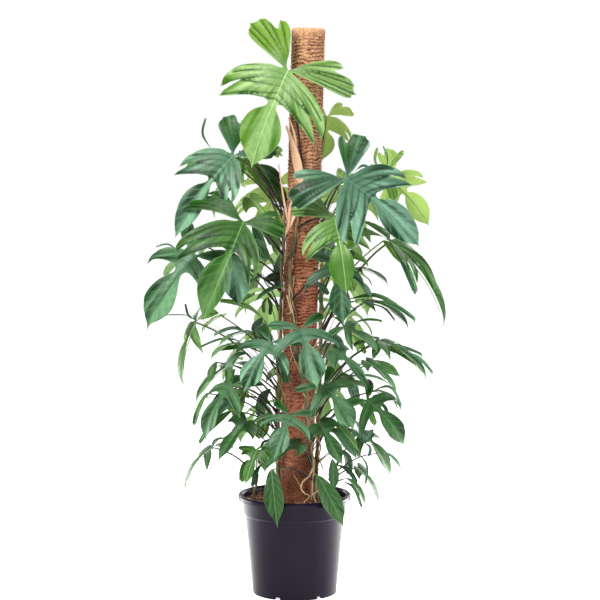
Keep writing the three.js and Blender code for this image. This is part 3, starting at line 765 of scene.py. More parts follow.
# the leaves of each stem, in mm and degrees: kind, height on the stem, joint, faces, lift, turn, length,
# droop, age (0 fresh, 1 old), spread of its right and left half and how far their lobes are swept up
foliage = {
    "stem_front": [
        ["grand", 1000, [-15, -95, 1285], -5, 1, -24, 250, 0.5, 0.1, [1, 1.05, -0.04, 0.14]],
        ["grand", 905, [95, -130, 935], 0, 15, 12, 188, 0.6, 0.24, [0.85, 0.7]],
        ["broad", 580, [15, -125, 668], 5, 22, 13, 152, 0.7, 0.85],
        ["broad", 730, [104, -105, 822], 10, 20, 0, 150, 0.6, 0.85, [1, 0.7]],
        ["broad", 455, [70, -110, 530], 10, 22, 34, 132, 0.6, 0.7],
        ["broad", 385, [-10, -125, 460], -5, 25, -17, 118, 0.6, 0.75],
        ["trident", 365, [60, -105, 435], 12, 20, 26, 115, 0.5, 0.65],
        ["trident", 315, [15, -90, 385], -30, 50, -40, 115, 0.7, 0.7],
        ["slender", 285, [-55, -130, 330], -10, 12, 8, 138, 0.35, 0.6],
        ["slender", 275, [55, -130, 315], 12, 14, 26, 140, 0.35, 0.62],
        ["sheath", 0, [20, -52, 1005], -10, -10, -164, 120, 0.2, 0],
        ["sheath", 0, [23, -52, 1000], -10, 4, -22, 130, 0.2, 0],
    ],
    "stem_left": [
        ["grand", 950, [-145, -70, 1083], 0, 10, -40, 250, 0.7, 0.85, [0.62, 0.5]],
        ["grand", 920, [-118, 52, 1072], -110, 30, 0, 175, 0.7, 0.3],
        ["grand", 840, [-120, -150, 928], 10, 16, -24, 268, 0.9, 0.5, [0.95, 0.55, 0.15, 0.2]],
        ["broad", 750, [-237, -100, 845], -20, 20, -32, 215, 0.6, 0.75],
        ["slender", 780, [-146, -130, 844], -5, 8, 8, 122, 0.35, 0.95, [1.6, 1.6]],
        ["broad", 505, [-240, -20, 675], -75, 12, 0, 165, 0.7, 0.35],
        ["broad", 540, [-55, -105, 635], -15, 25, -24, 142, 0.6, 0.85],
        ["broad", 475, [-150, -10, 570], -66, 44, -8, 138, 0.9, 0.55],
        ["broad", 450, [-150, -95, 530], -50, 26, -12, 155, 0.8, 0.7],
        ["trident", 365, [-115, -85, 440], -25, 25, -28, 122, 0.6, 0.65],
        ["slender", 395, [-50, -80, 455], -30, 60, -50, 70, 0.6, 0.7],
        ["trident", 580, [-110, -60, 655], -68, 66, 0, 92, 1.0, 0.6],
        ["broad", 560, [-130, -22, 620], -66, 68, 0, 92, 1.1, 0.6],
        ["slender", 930, [-178, -30, 1074], -15, 22, -84, 98, 0.5, 0.4, [1.4, 1.3]],
        ["slender", 890, [-109, 30, 1061], -20, 20, -40, 106, 0.5, 0.1, [1.2, 1]],
        ["slender", 870, [-90, 35, 1055], 20, 20, 55, 80, 0.5, 0.7, [1.2, 1.2]],
        ["trident", 860, [-108, -30, 978], 8, 18, 38, 108, 0.5, 0.05, [0.8, 0.6]],
        ["slender", 720, [-28, -62, 767], -30, 30, -67, 92, 0.7, 0.75, [0.6, 0.5]],
        ["slender", 700, [-75, 0, 775], -10, 20, 112, 58, 0.5, 0.9, [1.3, 1.3]],
        ["slender", 500, [-190, -26, 577], -20, 20, -17, 60, 0.5, 0.55],
        ["slender", 440, [-126, -20, 541], -15, 20, -58, 76, 0.5, 0.9, [1.2, 1.1]],
        ["slender", 420, [-212, -44, 503], -50, 20, -10, 78, 0.6, 0.5, [0.7, 0.7]],
        ["slender", 405, [-152, -60, 461], -20, 24, -47, 102, 0.6, 0.5, [0.7, 0.6]],
        ["slender", 430, [-137, -75, 509], -15, 22, -44, 90, 0.5, 0.85, [1.1, 1]],
        ["slender", 385, [-66, 28, 432], -10, 14, -12, 60, 0.5, 0.1, [1.1, 1.1]],
    ],
    "stem_right": [
        ["grand", 915, [120, -150, 1031], 10, 8, 52, 250, 0.6, 0.95, [0.85, 0.85, 0, 0.15]],
        ["grand", 865, [235, 115, 1020], 160, 8, -46, 158, 0.6, 0.08, [0.9, 1]],
        ["grand", 645, [228, -40, 875], 66, 34, 8, 255, 0.8, 0.6, [0.5, 0.62]],
        ["broad", 655, [150, 10, 803], 62, 66, 6, 96, 1.0, 0.7, [0.8, 0.8]],
        ["broad", 605, [170, -20, 725], 64, 62, 6, 136, 1.0, 0.75, [0.8, 0.8]],
        ["broad", 570, [118, -70, 668], 30, 38, 52, 112, 0.8, 0.7],
        ["broad", 500, [205, 0, 625], 64, 54, 8, 158, 0.9, 0.6, [0.85, 0.85]],
        ["trident", 485, [175, -40, 580], 60, 45, 8, 112, 0.7, 0.7],
        ["trident", 520, [95, -115, 615], 35, 32, 36, 122, 0.6, 0.75],
        ["trident", 465, [120, -45, 535], 90, 84, 0, 118, 1.0, 0.6],
        ["broad", 405, [175, -70, 490], 25, 25, 36, 148, 0.6, 0.65],
        ["slender", 425, [195, 20, 500], 68, 56, 0, 92, 1.1, 0.5],
        ["slender", 360, [88, -88, 420], 40, 30, 32, 102, 0.6, 0.7],
        ["broad", 730, [118, -48, 850], 20, 16, 6, 110, 0.6, 0.08],
        ["slender", 690, [216, -10, 873], 20, 20, 40, 80, 0.6, 0.05],
        ["slender", 630, [152, -40, 779], 15, 20, 40, 58, 0.6, 0.85, [0.9, 0.9]],
        ["slender", 480, [208, 46, 626], 20, 20, -21, 58, 0.5, 0.5, [1.1, 1]],
        ["slender", 450, [190, 0, 576], 20, 24, 63, 88, 0.6, 0.6, [1.1, 0.9]],
        ["slender", 440, [116, -30, 530], 30, 30, 84, 112, 0.7, 0.6, [0.6, 0.5]],
        ["slender", 370, [99, -60, 431], 15, 22, 36, 90, 0.5, 0.4, [0.9, 0.8]],
    ],
    "shoot_left": [
        ["broad", 296, [-200, -10, 365], -80, 32, 0, 140, 0.9, 0.55],
        ["trident", 272, [-92, -74, 365], -10, 14, -18, 88, 0.5, 0.45],
    ],
    "shoot_right": [
        ["broad", 308, [160, 0, 400], 55, 35, 10, 138, 0.8, 0.6],
        ["slender", 300, [92, -76, 345], 10, 15, 0, 78, 0.5, 0.65],
        ["trident", 290, [155, -20, 315], 70, 30, 5, 108, 0.8, 0.55],
        ["slender", 272, [128, -84, 300], 60, 38, 0, 82, 0.8, 0.5],
        ["slender", 305, [226, 5, 348], 40, 30, 34, 62, 0.7, 0.9, [0.7, 0.6]],
    ],
    "stem_back_left": [
        ["trident", 520, [-180, 40, 685], -120, 50, 0, 80, 0.8, 0.35],
        ["trident", 435, [-135, 40, 490], -150, 20, 0, 78, 0.6, 0.5],
        ["trident", 455, [-168, 78, 562], -112, 10, 0, 52, 0.6, 0.4],
        ["broad", 690, [-225, 55, 860], -110, 48, 0, 150, 0.8, 0.6],
        ["grand", 875, [-52, 104, 999], -165, 30, 0, 165, 0.6, 0.12],
    ],
    "stem_back_right": [
        ["grand", 1010, [80, 84, 1175], 165, 15, 10, 120, 0.6, 0.05],
        ["trident", 655, [155, 40, 770], 110, 25, 0, 70, 0.8, 0.4],
    ],
}
backRule = {
    "stem_back_left": {"from": 285, "rise": 88, "count": 6, "towards": [-150, -138, -162, -128]},
    "stem_back_right": {"from": 320, "rise": 95, "count": 7, "towards": [146, 156, 148, 128]},
}
backLeaves = {  # at the lowest, and how much more it is 800 mm further up
    "lowest": 300, "span": 800, "grandFrom": 0.55, "reach": (105, 70), "up": (75, 50), "long": (115, 110),
    "age": (0.6, -0.35), "droop": 0.7, "lift": 32,
}


def backLeaf(z, degrees, step):
    rule = backLeaves
    up = (z - rule["lowest"]) / rule["span"]
    reach, rise, long, age = (rule[key][0] + rule[key][1] * up for key in ("reach", "up", "long", "age"))
    reach += 22 * math.sin(2.1 * step)
    turn = math.radians(degrees)
    kind = "grand" if up > rule["grandFrom"] else "trident" if step % 3 == 2 else "broad"
    at = [poleX(z) + reach * math.sin(turn), -reach * math.cos(turn), z + rise]
    lift, swing = rule["lift"] + 5 * math.cos(1.7 * step), 14 * math.sin(2.6 * step)
    return [kind, z, at, degrees + 8 * math.sin(step), lift, swing, long, rule["droop"], age]


def leavesOf(name):
    rows = list(foliage[name])
    if name in backRule:
        rule = backRule[name]
        for i in range(rule["count"]):
            rows.append(backLeaf(rule["from"] + rule["rise"] * i, rule["towards"][i % 4], i))
    keys = ["kind", "from", "at", "faces", "lift", "turn", "long", "droop", "age", "spread"]
    return [dict(zip(keys, row + [[1, 1]] * (len(keys) - len(row)))) for row in rows]


petiole = {  # how thick it is along its way, from under the blade past the joint down to the stem
    "thick": 1.3, "perLength": 0.005, "marks": [0.2, 0.3, 0.4, 0.62, 1.0, 1.05, 1.35, 1.5],
    "underBlade": ((0.86, 0.9), (0.6, 1.1), (0.34, 1.4)), "joint": 3.6, "sides": 8,
}


def petioleTube(name, leaf, turned):
    thick = (petiole["thick"] + petiole["perLength"] * leaf["long"]) * mm
    long = leaf["long"] * mm

    def under(along, sink):
        point, normal = archedPoint(np.array(0.0), np.array(along), leaf["droop"])
        sunk = sink + (blade["pleat"] + blade["vein"]) * long
        return turned @ (Vector(point * long) - Vector(normal) * sunk)

    foot, joint = leavesAt(name, leaf["from"]), under(0.01, thick / 2)
    middle = stalkMiddle(foot, joint)
    rise = foot + (middle - foot) * 0.06
    path = [under(along, sink * mm) for along, sink in petiole["underBlade"]]
    fine = curveThrough([*path, under(0.12, thick * 0.62), joint, middle, rise, foot], 6)
    spans = len(petiole["marks"]) - 1
    marks = np.interp(np.linspace(0, spans, len(fine)), range(spans + 1), petiole["marks"])
    points, faces, along = tube(fine, [thick * mark for mark in marks], petiole["sides"])
    past = np.array(along) * spans - petiole["joint"]
    return points, faces, np.clip(past / (spans - petiole["joint"]), 0, 1)


def stemTube(name):
    if name in shoots:
        line = curveThrough(shoots[name], 9)
        foot, tip = climbing["shootFoot"], climbing["shootTip"]
    else:
        climb = climbs[name]
        low, rise = climb[0][0], climb[-1][0] - climb[0][0]
        count = int(rise / climbing["step"])
        line = [climbAt(climb, low + rise * i / count) for i in range(count + 1)]
        foot, tip = climbing["foot"], climbing["tip"]
    sway, (swell, swellLong) = climbing["sway"], climbing["nodeSwell"]
    line = [p + Vector((sway * math.sin(p.z / 19), sway * math.cos(p.z / 23), 0)) for p in line]
    radii = []
    for i, point in enumerate(line):
        off = abs((point.z / climbing["nodeEvery"]) % 1 - 0.5) * climbing["nodeEvery"]
        grown = 1 + swell * math.exp(-((off / swellLong) ** 2))
        grown += climbing["bumps"] * noise.noise(point * 0.05)
        radii.append((foot + (tip - foot) * i / (len(line) - 1)) * grown * mm * climbing["slim"])
    return tube([p * mm for p in line], radii, climbing["sides"])


def paintOn(piece, paint, uvs=None):
    layer = piece.data.attributes.new("paint", "FLOAT_COLOR", "POINT")
    layer.data.foreach_set("color", np.asarray(paint, np.float32).ravel())
    flat = piece.data.uv_layers.new(name="blade")
    if uvs is None:
        return
    corners = np.zeros(len(piece.data.loops), np.int32)
    piece.data.loops.foreach_get("vertex_index", corners)
    flat.data.foreach_set("uv", (np.asarray(uvs)[corners] + 0.5).astype(np.float32).ravel())


def paintedPiece(name, points, faces, finish, paint):
    made = meshPiece(name, points, faces, [finish])
    paintOn(made, paint)
    smoothByAngle(made, 60)
    return made


def gathered(parts):
    points, faces, first = [], [], 0
    for part in parts:
        points.append(np.array([tuple(p) for p in part[0]]))
        faces += [tuple(i + first for i in face) for face in part[1]]
        first += len(part[0])
    return np.vstack(points), faces


# small lobes and blades between the leaves, in mm: stem, height on it (0 where it grows from the joint of
# a leaf), joint, bend, tip, width, age
sprigs = [
    ["stem_left", 560, (-80, 20, 682), (-117, 20, 709), (-178, 10, 723), 14, 0.1],
    ["stem_left", 530, (-110, -20, 645), (-149, -25, 660), (-193, -30, 645), 10, 0.9],
    ["stem_left", 515, (-129, -10, 625), (-173, -15, 633), (-225, -20, 615), 7, 0.95],
    ["stem_left", 510, (-117, -30, 623), (-139, -30, 615), (-185, -35, 608), 13, 0.4],
    ["stem_left", 500, (-114, -40, 600), (-139, -45, 596), (-163, -50, 568), 17, 0.8],
    ["stem_left", 410, (-218, -40, 492), (-234, -45, 462), (-244, -50, 429), 15, 0.8],
    ["stem_left", 430, (-139, -50, 517), (-176, -55, 487), (-200, -60, 437), 32, 0.85],
    ["stem_left", 350, (-178, -30, 452), (-203, -35, 422), (-230, -40, 382), 14, 0.6],
    ["stem_left", 435, (-149, -30, 519), (-183, -35, 499), (-212, -40, 454), 9, 0.7],
    ["stem_left", 300, (-200, -50, 359), (-198, -52, 384), (-178, -55, 394), 5, 0.95],
    ["stem_back_left", 420, (-117, 60, 502), (-134, 60, 479), (-144, 55, 437), 50, 0.1],
    ["stem_left", 470, (-185, -10, 556), (-173, -10, 560), (-156, -12, 547), 5, 0.7],
    ["shoot_left", 298, (-90, -70, 352), (-107, -75, 369), (-132, -80, 372), 14, 0.4],
    ["shoot_left", 294, (-87, -70, 362), (-70, -75, 369), (-53, -80, 349), 15, 0.45],
    ["shoot_left", 284, (-80, -60, 330), (-92, -61, 312), (-102, -62, 278), 13, 0.9],
    ["shoot_left", 290, (-80, -50, 364), (-78, -50, 380), (-60, -50, 387), 7, 0.9],
    ["stem_left", 690, (-78, 0, 788), (-95, 0, 780), (-112, 0, 765), 13, 0.85],
    ["stem_left", 740, (-105, 10, 825), (-88, 10, 828), (-70, 10, 824), 4, 0.95],
    ["stem_left", 790, (-110, 10, 879), (-83, 5, 862), (-65, 0, 830), 20, 0.7],
    ["stem_left", 590, (-80, 10, 682), (-87, 8, 657), (-65, 5, 620), 42, 0.97],
    ["stem_left", 620, (-65, 30, 731), (-75, 30, 716), (-75, 30, 694), 12, 0.35],
    ["stem_left", 625, (-66, 30, 728), (-58, 30, 711), (-60, 30, 689), 13, 0.5],
    ["stem_front", 690, (42, -56, 773), (62, -60, 768), (79, -64, 748), 16, 0.9],
    ["stem_right", 780, (101, -50, 879), (77, -52, 859), (66, -50, 828), 34, 0.97],
    ["stem_right", 660, (67, -20, 755), (62, -20, 733), (69, -20, 706), 10, 0.4],
    ["stem_front", 500, (-43, -75, 583), (-26, -80, 569), (-19, -84, 536), 22, 0.8],
    ["stem_right", 600, (135, 0, 729), (194, 0, 738), (248, 0, 714), 13, 0.6],
    ["stem_right", 590, (167, -20, 724), (233, -25, 719), (290, -30, 684), 13, 0.75],
    ["stem_right", 585, (184, -10, 719), (219, -10, 707), (243, -10, 680), 6, 0.8],
    ["stem_right", 560, (135, -20, 670), (175, -20, 680), (211, -20, 677), 7, 0.5],
    ["stem_right", 500, (204, 0, 625), (256, 0, 613), (309, 0, 593), 9, 0.8],
    ["stem_right", 490, (184, 10, 610), (243, 10, 603), (295, 10, 571), 22, 0.3],
    ["stem_right", 495, (258, -5, 600), (302, -8, 586), (336, -10, 551), 10, 0.8],
    ["stem_right", 470, (175, -20, 576), (199, -20, 559), (221, -20, 536), 7, 0.7],
    ["stem_back_right", 520, (140, 30, 638), (160, 30, 618), (172, 30, 593), 18, 0.1],
    ["stem_right", 410, (189, -20, 504), (233, -20, 514), (260, -20, 472), 8, 0.8],
    ["stem_right", 405, (224, 10, 497), (241, 10, 484), (253, 10, 459), 4, 0.7],
    ["stem_right", 390, (175, -40, 474), (216, -42, 472), (229, -45, 429), 11, 0.75],
    ["stem_right", 320, (162, -40, 387), (160, -40, 404), (160, -40, 427), 12, 0.95],
    ["stem_right", 325, (167, -45, 379), (177, -45, 389), (189, -45, 407), 20, 0.95],
    ["stem_right", 322, (162, -50, 389), (150, -50, 402), (133, -50, 389), 14, 0.97],
    ["stem_right", 318, (167, -48, 384), (155, -48, 369), (157, -50, 347), 14, 0.95],
    ["stem_right", 315, (170, -50, 382), (184, -50, 369), (182, -50, 349), 9, 0.95],
    ["stem_right", 310, (155, -30, 354), (177, -30, 321), (175, -30, 279), 7, 0.8],
    ["stem_right", 300, (101, -60, 329), (128, -60, 316), (150, -60, 287), 13, 0.75],
    ["shoot_right", 280, (116, -70, 290), (143, -74, 275), (162, -76, 230), 9, 0.8],
    ["stem_front", 350, (86, -30, 417), (121, -32, 397), (148, -35, 362), 22, 0.3],
    ["stem_left", 940, (-205, -20, 1100), (-222, -20, 1132), (-215, -20, 1168), 7, 0.7],
    ["stem_left", 945, (-134, 0, 1113), (-149, 0, 1132), (-139, 0, 1156), 9, 0.05],
    ["stem_right", 910, (209, 40, 1040), (197, 40, 1067), (202, 40, 1096), 9, 0.05],
    ["stem_right", 905, (224, 0, 1045), (226, 0, 1074), (216, 0, 1101), 5, 0.9],
    ["stem_right", 900, (231, 50, 1045), (246, 50, 1064), (265, 50, 1086), 14, 0.0],
    ["stem_right", 912, (150, -10, 1045), (167, -10, 1055), (187, -10, 1045), 8, 0.8],
    ["stem_left", 760, (-281, -60, 852), (-305, -60, 867), (-332, -60, 862), 5, 0.8],
    ["stem_left", 520, (-237, -60, 682), (-256, -60, 694), (-264, -60, 721), 6, 0.6],
    ["stem_left", 515, (-239, -40, 689), (-275, -40, 694), (-320, -40, 692), 3, 0.5],
    ["stem_left", 900, (-127, 40, 1088), (-97, 40, 1045), (-60, 40, 991), 34, 0.1],
    ["stem_left", 895, (-134, 30, 1090), (-139, 30, 1033), (-178, 30, 981), 36, 0.12],
    ["stem_left", 880, (-80, 35, 1025), (-48, 35, 1006), (-19, 42, 962), 26, 0.5],
    ["stem_right", 0, (230, -42, 874), (262, -56, 824), (290, -64, 757), 22, 0.8],
    ["stem_right", 0, (230, -42, 874), (300, -56, 830), (336, -62, 766), 26, 0.5],
    ["stem_right", 890, (190, 30, 1057), (175, 30, 1020), (165, 30, 971), 40, 0.0],
    ["stem_right", 890, (196, 25, 1050), (229, 25, 1015), (241, 25, 976), 36, 0.02],
    ["stem_left", 380, (-120, 40, 500), (-140, 40, 485), (-160, 40, 450), 32, 0.15],
    ["stem_left", 340, (-66, 40, 440), (-80, 40, 420), (-88, 40, 380), 30, 0.3],
    ["stem_left", 480, (-75, 20, 560), (-95, 20, 545), (-118, 15, 508), 32, 0.85],
    ["stem_left", 400, (-60, 30, 502), (-75, 30, 480), (-84, 30, 436), 36, 0.9],
    ["stem_left", 330, (-120, 0, 420), (-140, 0, 405), (-158, 0, 366), 26, 0.8],
    ["shoot_left", 290, (-113, -30, 336), (-122, -30, 318), (-128, -30, 284), 22, 0.35],
    ["stem_right", 430, (120, 30, 542), (135, 30, 520), (150, 30, 476), 36, 0.9],
    ["stem_right", 350, (98, 30, 442), (115, 30, 420), (126, 30, 374), 34, 0.85],
    ["stem_right", 520, (90, 30, 642), (105, 30, 620), (116, 30, 578), 32, 0.9],
    ["stem_right", 380, (150, 40, 474), (175, 40, 455), (197, 40, 414), 24, 0.3],
    ["shoot_right", 290, (118, 20, 352), (130, 20, 330), (134, 20, 294), 26, 0.8],
    ["stem_front", 330, (-30, -60, 422), (-45, -66, 400), (-56, -70, 360), 28, 0.7],
    ["stem_left", 850, (-88, 20, 962), (-72, 20, 922), (-48, 20, 862), 36, 0.3],
    ["stem_left", 800, (-44, 30, 934), (-50, 30, 896), (-42, 30, 842), 28, 0.15],
    ["stem_left", 760, (-104, 25, 906), (-88, 25, 878), (-72, 25, 826), 30, 0.75],
    ["stem_left", 730, (-36, 20, 838), (-42, 20, 800), (-38, 20, 752), 24, 0.85],
]
sprigShape = {
    "along": [0, 0.1, 0.3, 0.5, 0.72, 0.88, 0.96, 1], "wide": [0.08, 0.4, 0.9, 1, 0.72, 0.3, 0.1, 0.02],
    "across": (-1, -0.5, 0, 0.5, 1), "fold": 0.3, "hook": 0.07, "stalk": 1.0, "woodyFrom": 0.3,
}
stripShape = {"across": (-1, -0.4, 0.2, 0.7, 1), "patternWide": 100 * mm}


def ribbonFaces(rows, wide):
    starts = (i * wide + k for i in range(rows - 1) for k in range(wide - 1))
    return [(a, a + 1, a + wide + 1, a + wide) for a in starts]


def aheadAt(line, i):
    return (line[min(i + 1, len(line) - 1)] - line[max(i - 1, 0)]).normalized()


def sprigBlade(joint, bend, tip, wide, age, number):
    long = (bend - joint).length + (tip - bend).length
    ahead = (tip - bend).normalized()
    hook = tip + (ahead * 0.4 + Vector((0, 0, -0.9))) * sprigShape["hook"] * long
    line = curveThrough([joint, bend, tip, hook], 6)
    away = Vector((bend.x, bend.y, 0)).normalized()
    facing = (away * 0.5 + Vector((0, -0.8, 0.55))).normalized()
    points, paint, lines, flat = [], [], [], []
    chance = random.Random(900 + number).random()
    for i, point in enumerate(line):
        t = i / (len(line) - 1)
        side = aheadAt(line, i).cross(facing).normalized()
        half = 0.5 * wide * np.interp(t, sprigShape["along"], sprigShape["wide"])
        for u in sprigShape["across"]:
            points.append(point + side * (u * half) + facing * (abs(u) * half * sprigShape["fold"]))
            paint.append((age, 0, chance, 1 - abs(u)))
            lines.append((0, 0, 0.4 + 0.6 * abs(u), min(1, (1 - t) * 9)))
            flat.append((u * half / long, t))
    faces = ribbonFaces(len(line), len(sprigShape["across"]))
    return {"points": points, "faces": faces, "paint": paint, "lines": lines, "uv": flat}


def sprigsOf(name):
    grown, stalks, stalkPaint = [], [], []
    for number, (stem, height, joint, bend, tip, wide, age) in enumerate(sprigs):
        if stem != name:
            continue
        joint, bend, tip = (Vector(p) * mm for p in (joint, bend, tip))
        grown.append(sprigBlade(joint, bend, tip, wide * mm, age, number))
        if not height:
            continue
        foot = leavesAt(name, height)
        fine = curveThrough([joint.lerp(bend, 0.3), joint, stalkMiddle(foot, joint), foot], 6)
        thick = sprigShape["stalk"] * min(1, 0.45 + wide / 40)
        radii = [thick * (0.5 + 0.7 * i / (len(fine) - 1)) * mm for i in range(len(fine))]
        points, faces, along = tube(fine, radii, 6)
        stalks.append((points, faces))
        stalkPaint += [(age, 1 if age > sprigShape["woodyFrom"] else 0.2, 0.5, 1.0)] * len(along)
    return grown, stalks, stalkPaint


# papery strips that hang from the front stem's nodes, in mm: points along the strip, width
strips = [
    [[(21, -55, 1006), (14, -62, 1060), (-4, -66, 1108), (-20, -58, 1152)], 10],
    [[(21, -55, 1008), (8, -63, 988), (-9, -60, 958), (-16, -57, 905)], 8],
    [[(9, -50, 1082), (4, -60, 1112), (-3, -62, 1142), (-14, -56, 1172)], 4],
    [[(20, -54, 1010), (27, -64, 1018), (31, -66, 1036)], 5],
    [[(-10, -52, 905), (-18, -60, 935), (-30, -62, 1000), (-38, -58, 1060)], 4],
]


def stripBlade(points, wide):
    line = curveThrough([Vector(p) * mm for p in points], 7)
    made, flat = [], []
    for i, point in enumerate(line):
        t = i / (len(line) - 1)
        facing = Vector((0.5 * math.sin(5 * t + wide), -1, 0.2)).normalized()
        side = aheadAt(line, i).cross(facing).normalized()
        half = 0.5 * wide * mm * (0.35 + 0.75 * math.sin(math.pi * min(t * 0.8 + 0.12, 1)))
        for u in stripShape["across"]:
            made.append(point + side * (u * half) + facing * (0.5 * half * u * u))
            flat.append((u * half / stripShape["patternWide"], t))
    faces = ribbonFaces(len(line), len(stripShape["across"]))
    paint = np.tile([0.0, 0.0, 0.5, 1.0], (len(made), 1))
    return {"points": made, "faces": faces, "paint": paint, "lines": paint, "uv": flat}


def bladePiece(group, finishes):
    paint, lines, uv = (np.vstack([made[key] for made in group]) for key in ("paint", "lines", "uv"))
    piece = meshPiece("blades", *gathered([(made["points"], made["faces"]) for made in group]), finishes)
    paintOn(piece, paint, uv)
    layer = piece.data.attributes.new("lines", "FLOAT_COLOR", "POINT")
    layer.data.foreach_set("color", lines.astype(np.float32).ravel())
    applyModifier(piece, "SOLIDIFY", thickness=blade["thick"], offset=0, material_offset=1)
    smoothByAngle(piece, 55)
    return piece


leafNumber = 0
for name in foliage:
    blades, stalks, stalkPaint, papery = [], [], [], []
    for leaf in leavesOf(name):
        leafNumber += 1
        made = bladeMesh(leaf, leafNumber)
        (papery if leaf["kind"] == "sheath" else blades).append(made)
        if leaf["kind"] != "sheath":
            points, faces, along = petioleTube(name, leaf, bladeFrame(leaf))
            stalks.append((points, faces))
            stalkPaint += [(leaf["age"], a, 0.5, 1.0) for a in along]
    if name == "stem_front":
        papery += [stripBlade(points, wide) for points, wide in strips]
    small, smallStalks, smallPaint = sprigsOf(name)
    blades += small
    stalks += smallStalks
    stalkPaint += smallPaint
    parts = [bladePiece(blades, [leafTop, leafUnder])]
    if papery:
        parts.append(bladePiece(papery, [paperySheath, paperySheath]))
    parts.append(paintedPiece("petioles", *gathered(stalks), petioleSkin, stalkPaint))
    points, faces, along = stemTube(name)
    parts.append(paintedPiece("stem", points, faces, stemBark, [(0.5, a, 0.5, 1.0) for a in along]))
    grown = joinInto(name + "_growth", parts)
    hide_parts(name)
    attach(grown, "root")
    print("stage:", name, "grown with", len(blades), "leaves,", len(grown.data.polygons), "faces")

# nursery pot: one outline from the middle of its underside round the lip to its floor, then the drains
potShape = {
    "sides": 160,
    "start": 60,
    "outline": [
        (64, 6), (94.5, 6), (97.5, 0), (103.5, 0), (122.5, 195), (126, 199), (129, 242), (136.3, 242),
        (137.3, 234), (139.5, 234), (139.5, 243), (136.5, 246), (130, 246), (126.8, 242),
        (123.8, 199), (120.3, 195), (102.1, 9), (64, 9), (60, 3),
    ],
    "drains": 6, "drainTurn": 36, "drainRing": 79, "drainHole": 7, "drainSides": 28,
    "notch": (14, 16, 13), "notchRing": 103.5, "rounding": 0.9,
}


def potFinish():
    made, tree, inputs = newFinish("black pot plastic", Specular_IOR_Level=0.12)
    place = onPiece(tree)
    scuffs = grain(tree, stretched(tree, place, (90.0, 90.0, 9.0)), 1.0, 5.0, 0.65)
    tree.links.new(between(tree, scuffs, 0.35, 0.7, (0.17, 0.26)), inputs["Roughness"])
    body = mixed(tree, grain(tree, place, 14.0, 4.0), rgb(20, 13, 26), rgb(30, 22, 38))
    dressed(tree, inputs, body, grain(tree, place, 520.0, 2.0), 0.2, 0.6 * mm)
    return made


def makePot():
    deselectAll()
    bpy.ops.mesh.primitive_circle_add(
        vertices=potShape["sides"], radius=potShape["start"] * mm, fill_type="NGON", location=(0, 0, 0)
    )
    made = bpy.context.object
    bpy.ops.object.mode_set(mode="EDIT")
    wide, high = potShape["start"], 0
    for radius, height in potShape["outline"]:
        rise, grow = (height - high) * mm, radius / wide
        bpy.ops.mesh.extrude_region_move(TRANSFORM_OT_translate={"value": (0, 0, rise)})
        bpy.ops.transform.resize(value=(grow, grow, 1), center_override=(0, 0, height * mm))
        wide, high = radius, height
    bpy.ops.mesh.select_all(action="SELECT")
    bpy.ops.mesh.remove_doubles(threshold=1e-6)
    bpy.ops.mesh.normals_make_consistent(inside=False)
    bpy.ops.object.mode_set(mode="OBJECT")
    cutters = []
    for i in range(potShape["drains"]):
        turn = math.radians(potShape["drainTurn"] + 360 / potShape["drains"] * i)
        ring, foot = potShape["drainRing"] * mm, potShape["notchRing"] * mm
        deselectAll()
        bpy.ops.mesh.primitive_cylinder_add(
            vertices=potShape["drainSides"], radius=potShape["drainHole"] * mm, depth=30 * mm,
            location=(ring * math.sin(turn), -ring * math.cos(turn), 5 * mm),
        )
        cutters.append(bpy.context.object)
        deselectAll()
        bpy.ops.mesh.primitive_cube_add(
            size=1, scale=[side * mm for side in potShape["notch"]],
            location=(foot * math.sin(turn), -foot * math.cos(turn), 0), rotation=(0, 0, turn),
        )
        cutters.append(bpy.context.object)
    cutter = joinInto("drain_cutter", cutters)
    applyModifier(made, "BOOLEAN", operation="DIFFERENCE", object=cutter, solver="EXACT")
    bpy.data.objects.remove(cutter)
    applyModifier(
        made, "BEVEL", width=potShape["rounding"] * mm, segments=3,
        limit_method="ANGLE", angle_limit=math.radians(32),
    )
    made.name = made.data.name = "nursery_pot"
    smoothByAngle(made, 40)
    made.data.materials.append(potFinish())
    return made


pot = makePot()
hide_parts("pot")
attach(pot, "root")
print("stage: pot made")

# potting soil: rings from the pole's hole out to the pot's wall, rough on top, with bark chips on it
soilShape = {
    "top": 231, "round": 128, "rings": 44, "wall": 125.5, "hole": 39.5, "holeFrom": (165, 200),
    "below": [(123, 199), (119.5, 194), (100.9, 9.4)], "lump": 3.0, "lumpWide": 34, "seed": 7,
    "chips": 900, "chipRing": 118, "chipClear": 43, "chipLong": (1.6, 5.5), "chipThick": (0.7, 1.8),
}


def soilHeight(x, y):
    wide = soilShape["lumpWide"]
    return soilShape["top"] + soilShape["lump"] * noise.fractal(Vector((x / wide, y / wide, 2.0)), 0.9, 2.1, 5)


def soilFinish(name, dark, light, scale):
    made, tree, inputs = newFinish(name, Roughness=0.95)
    crumbs = grain(tree, onPiece(tree), scale, 6.0, 0.7)
    body = mixed(tree, between(tree, crumbs, 0.35, 0.68), dark, light)
    dressed(tree, inputs, body, crumbs, 0.9, 1.6 * mm)
    return made


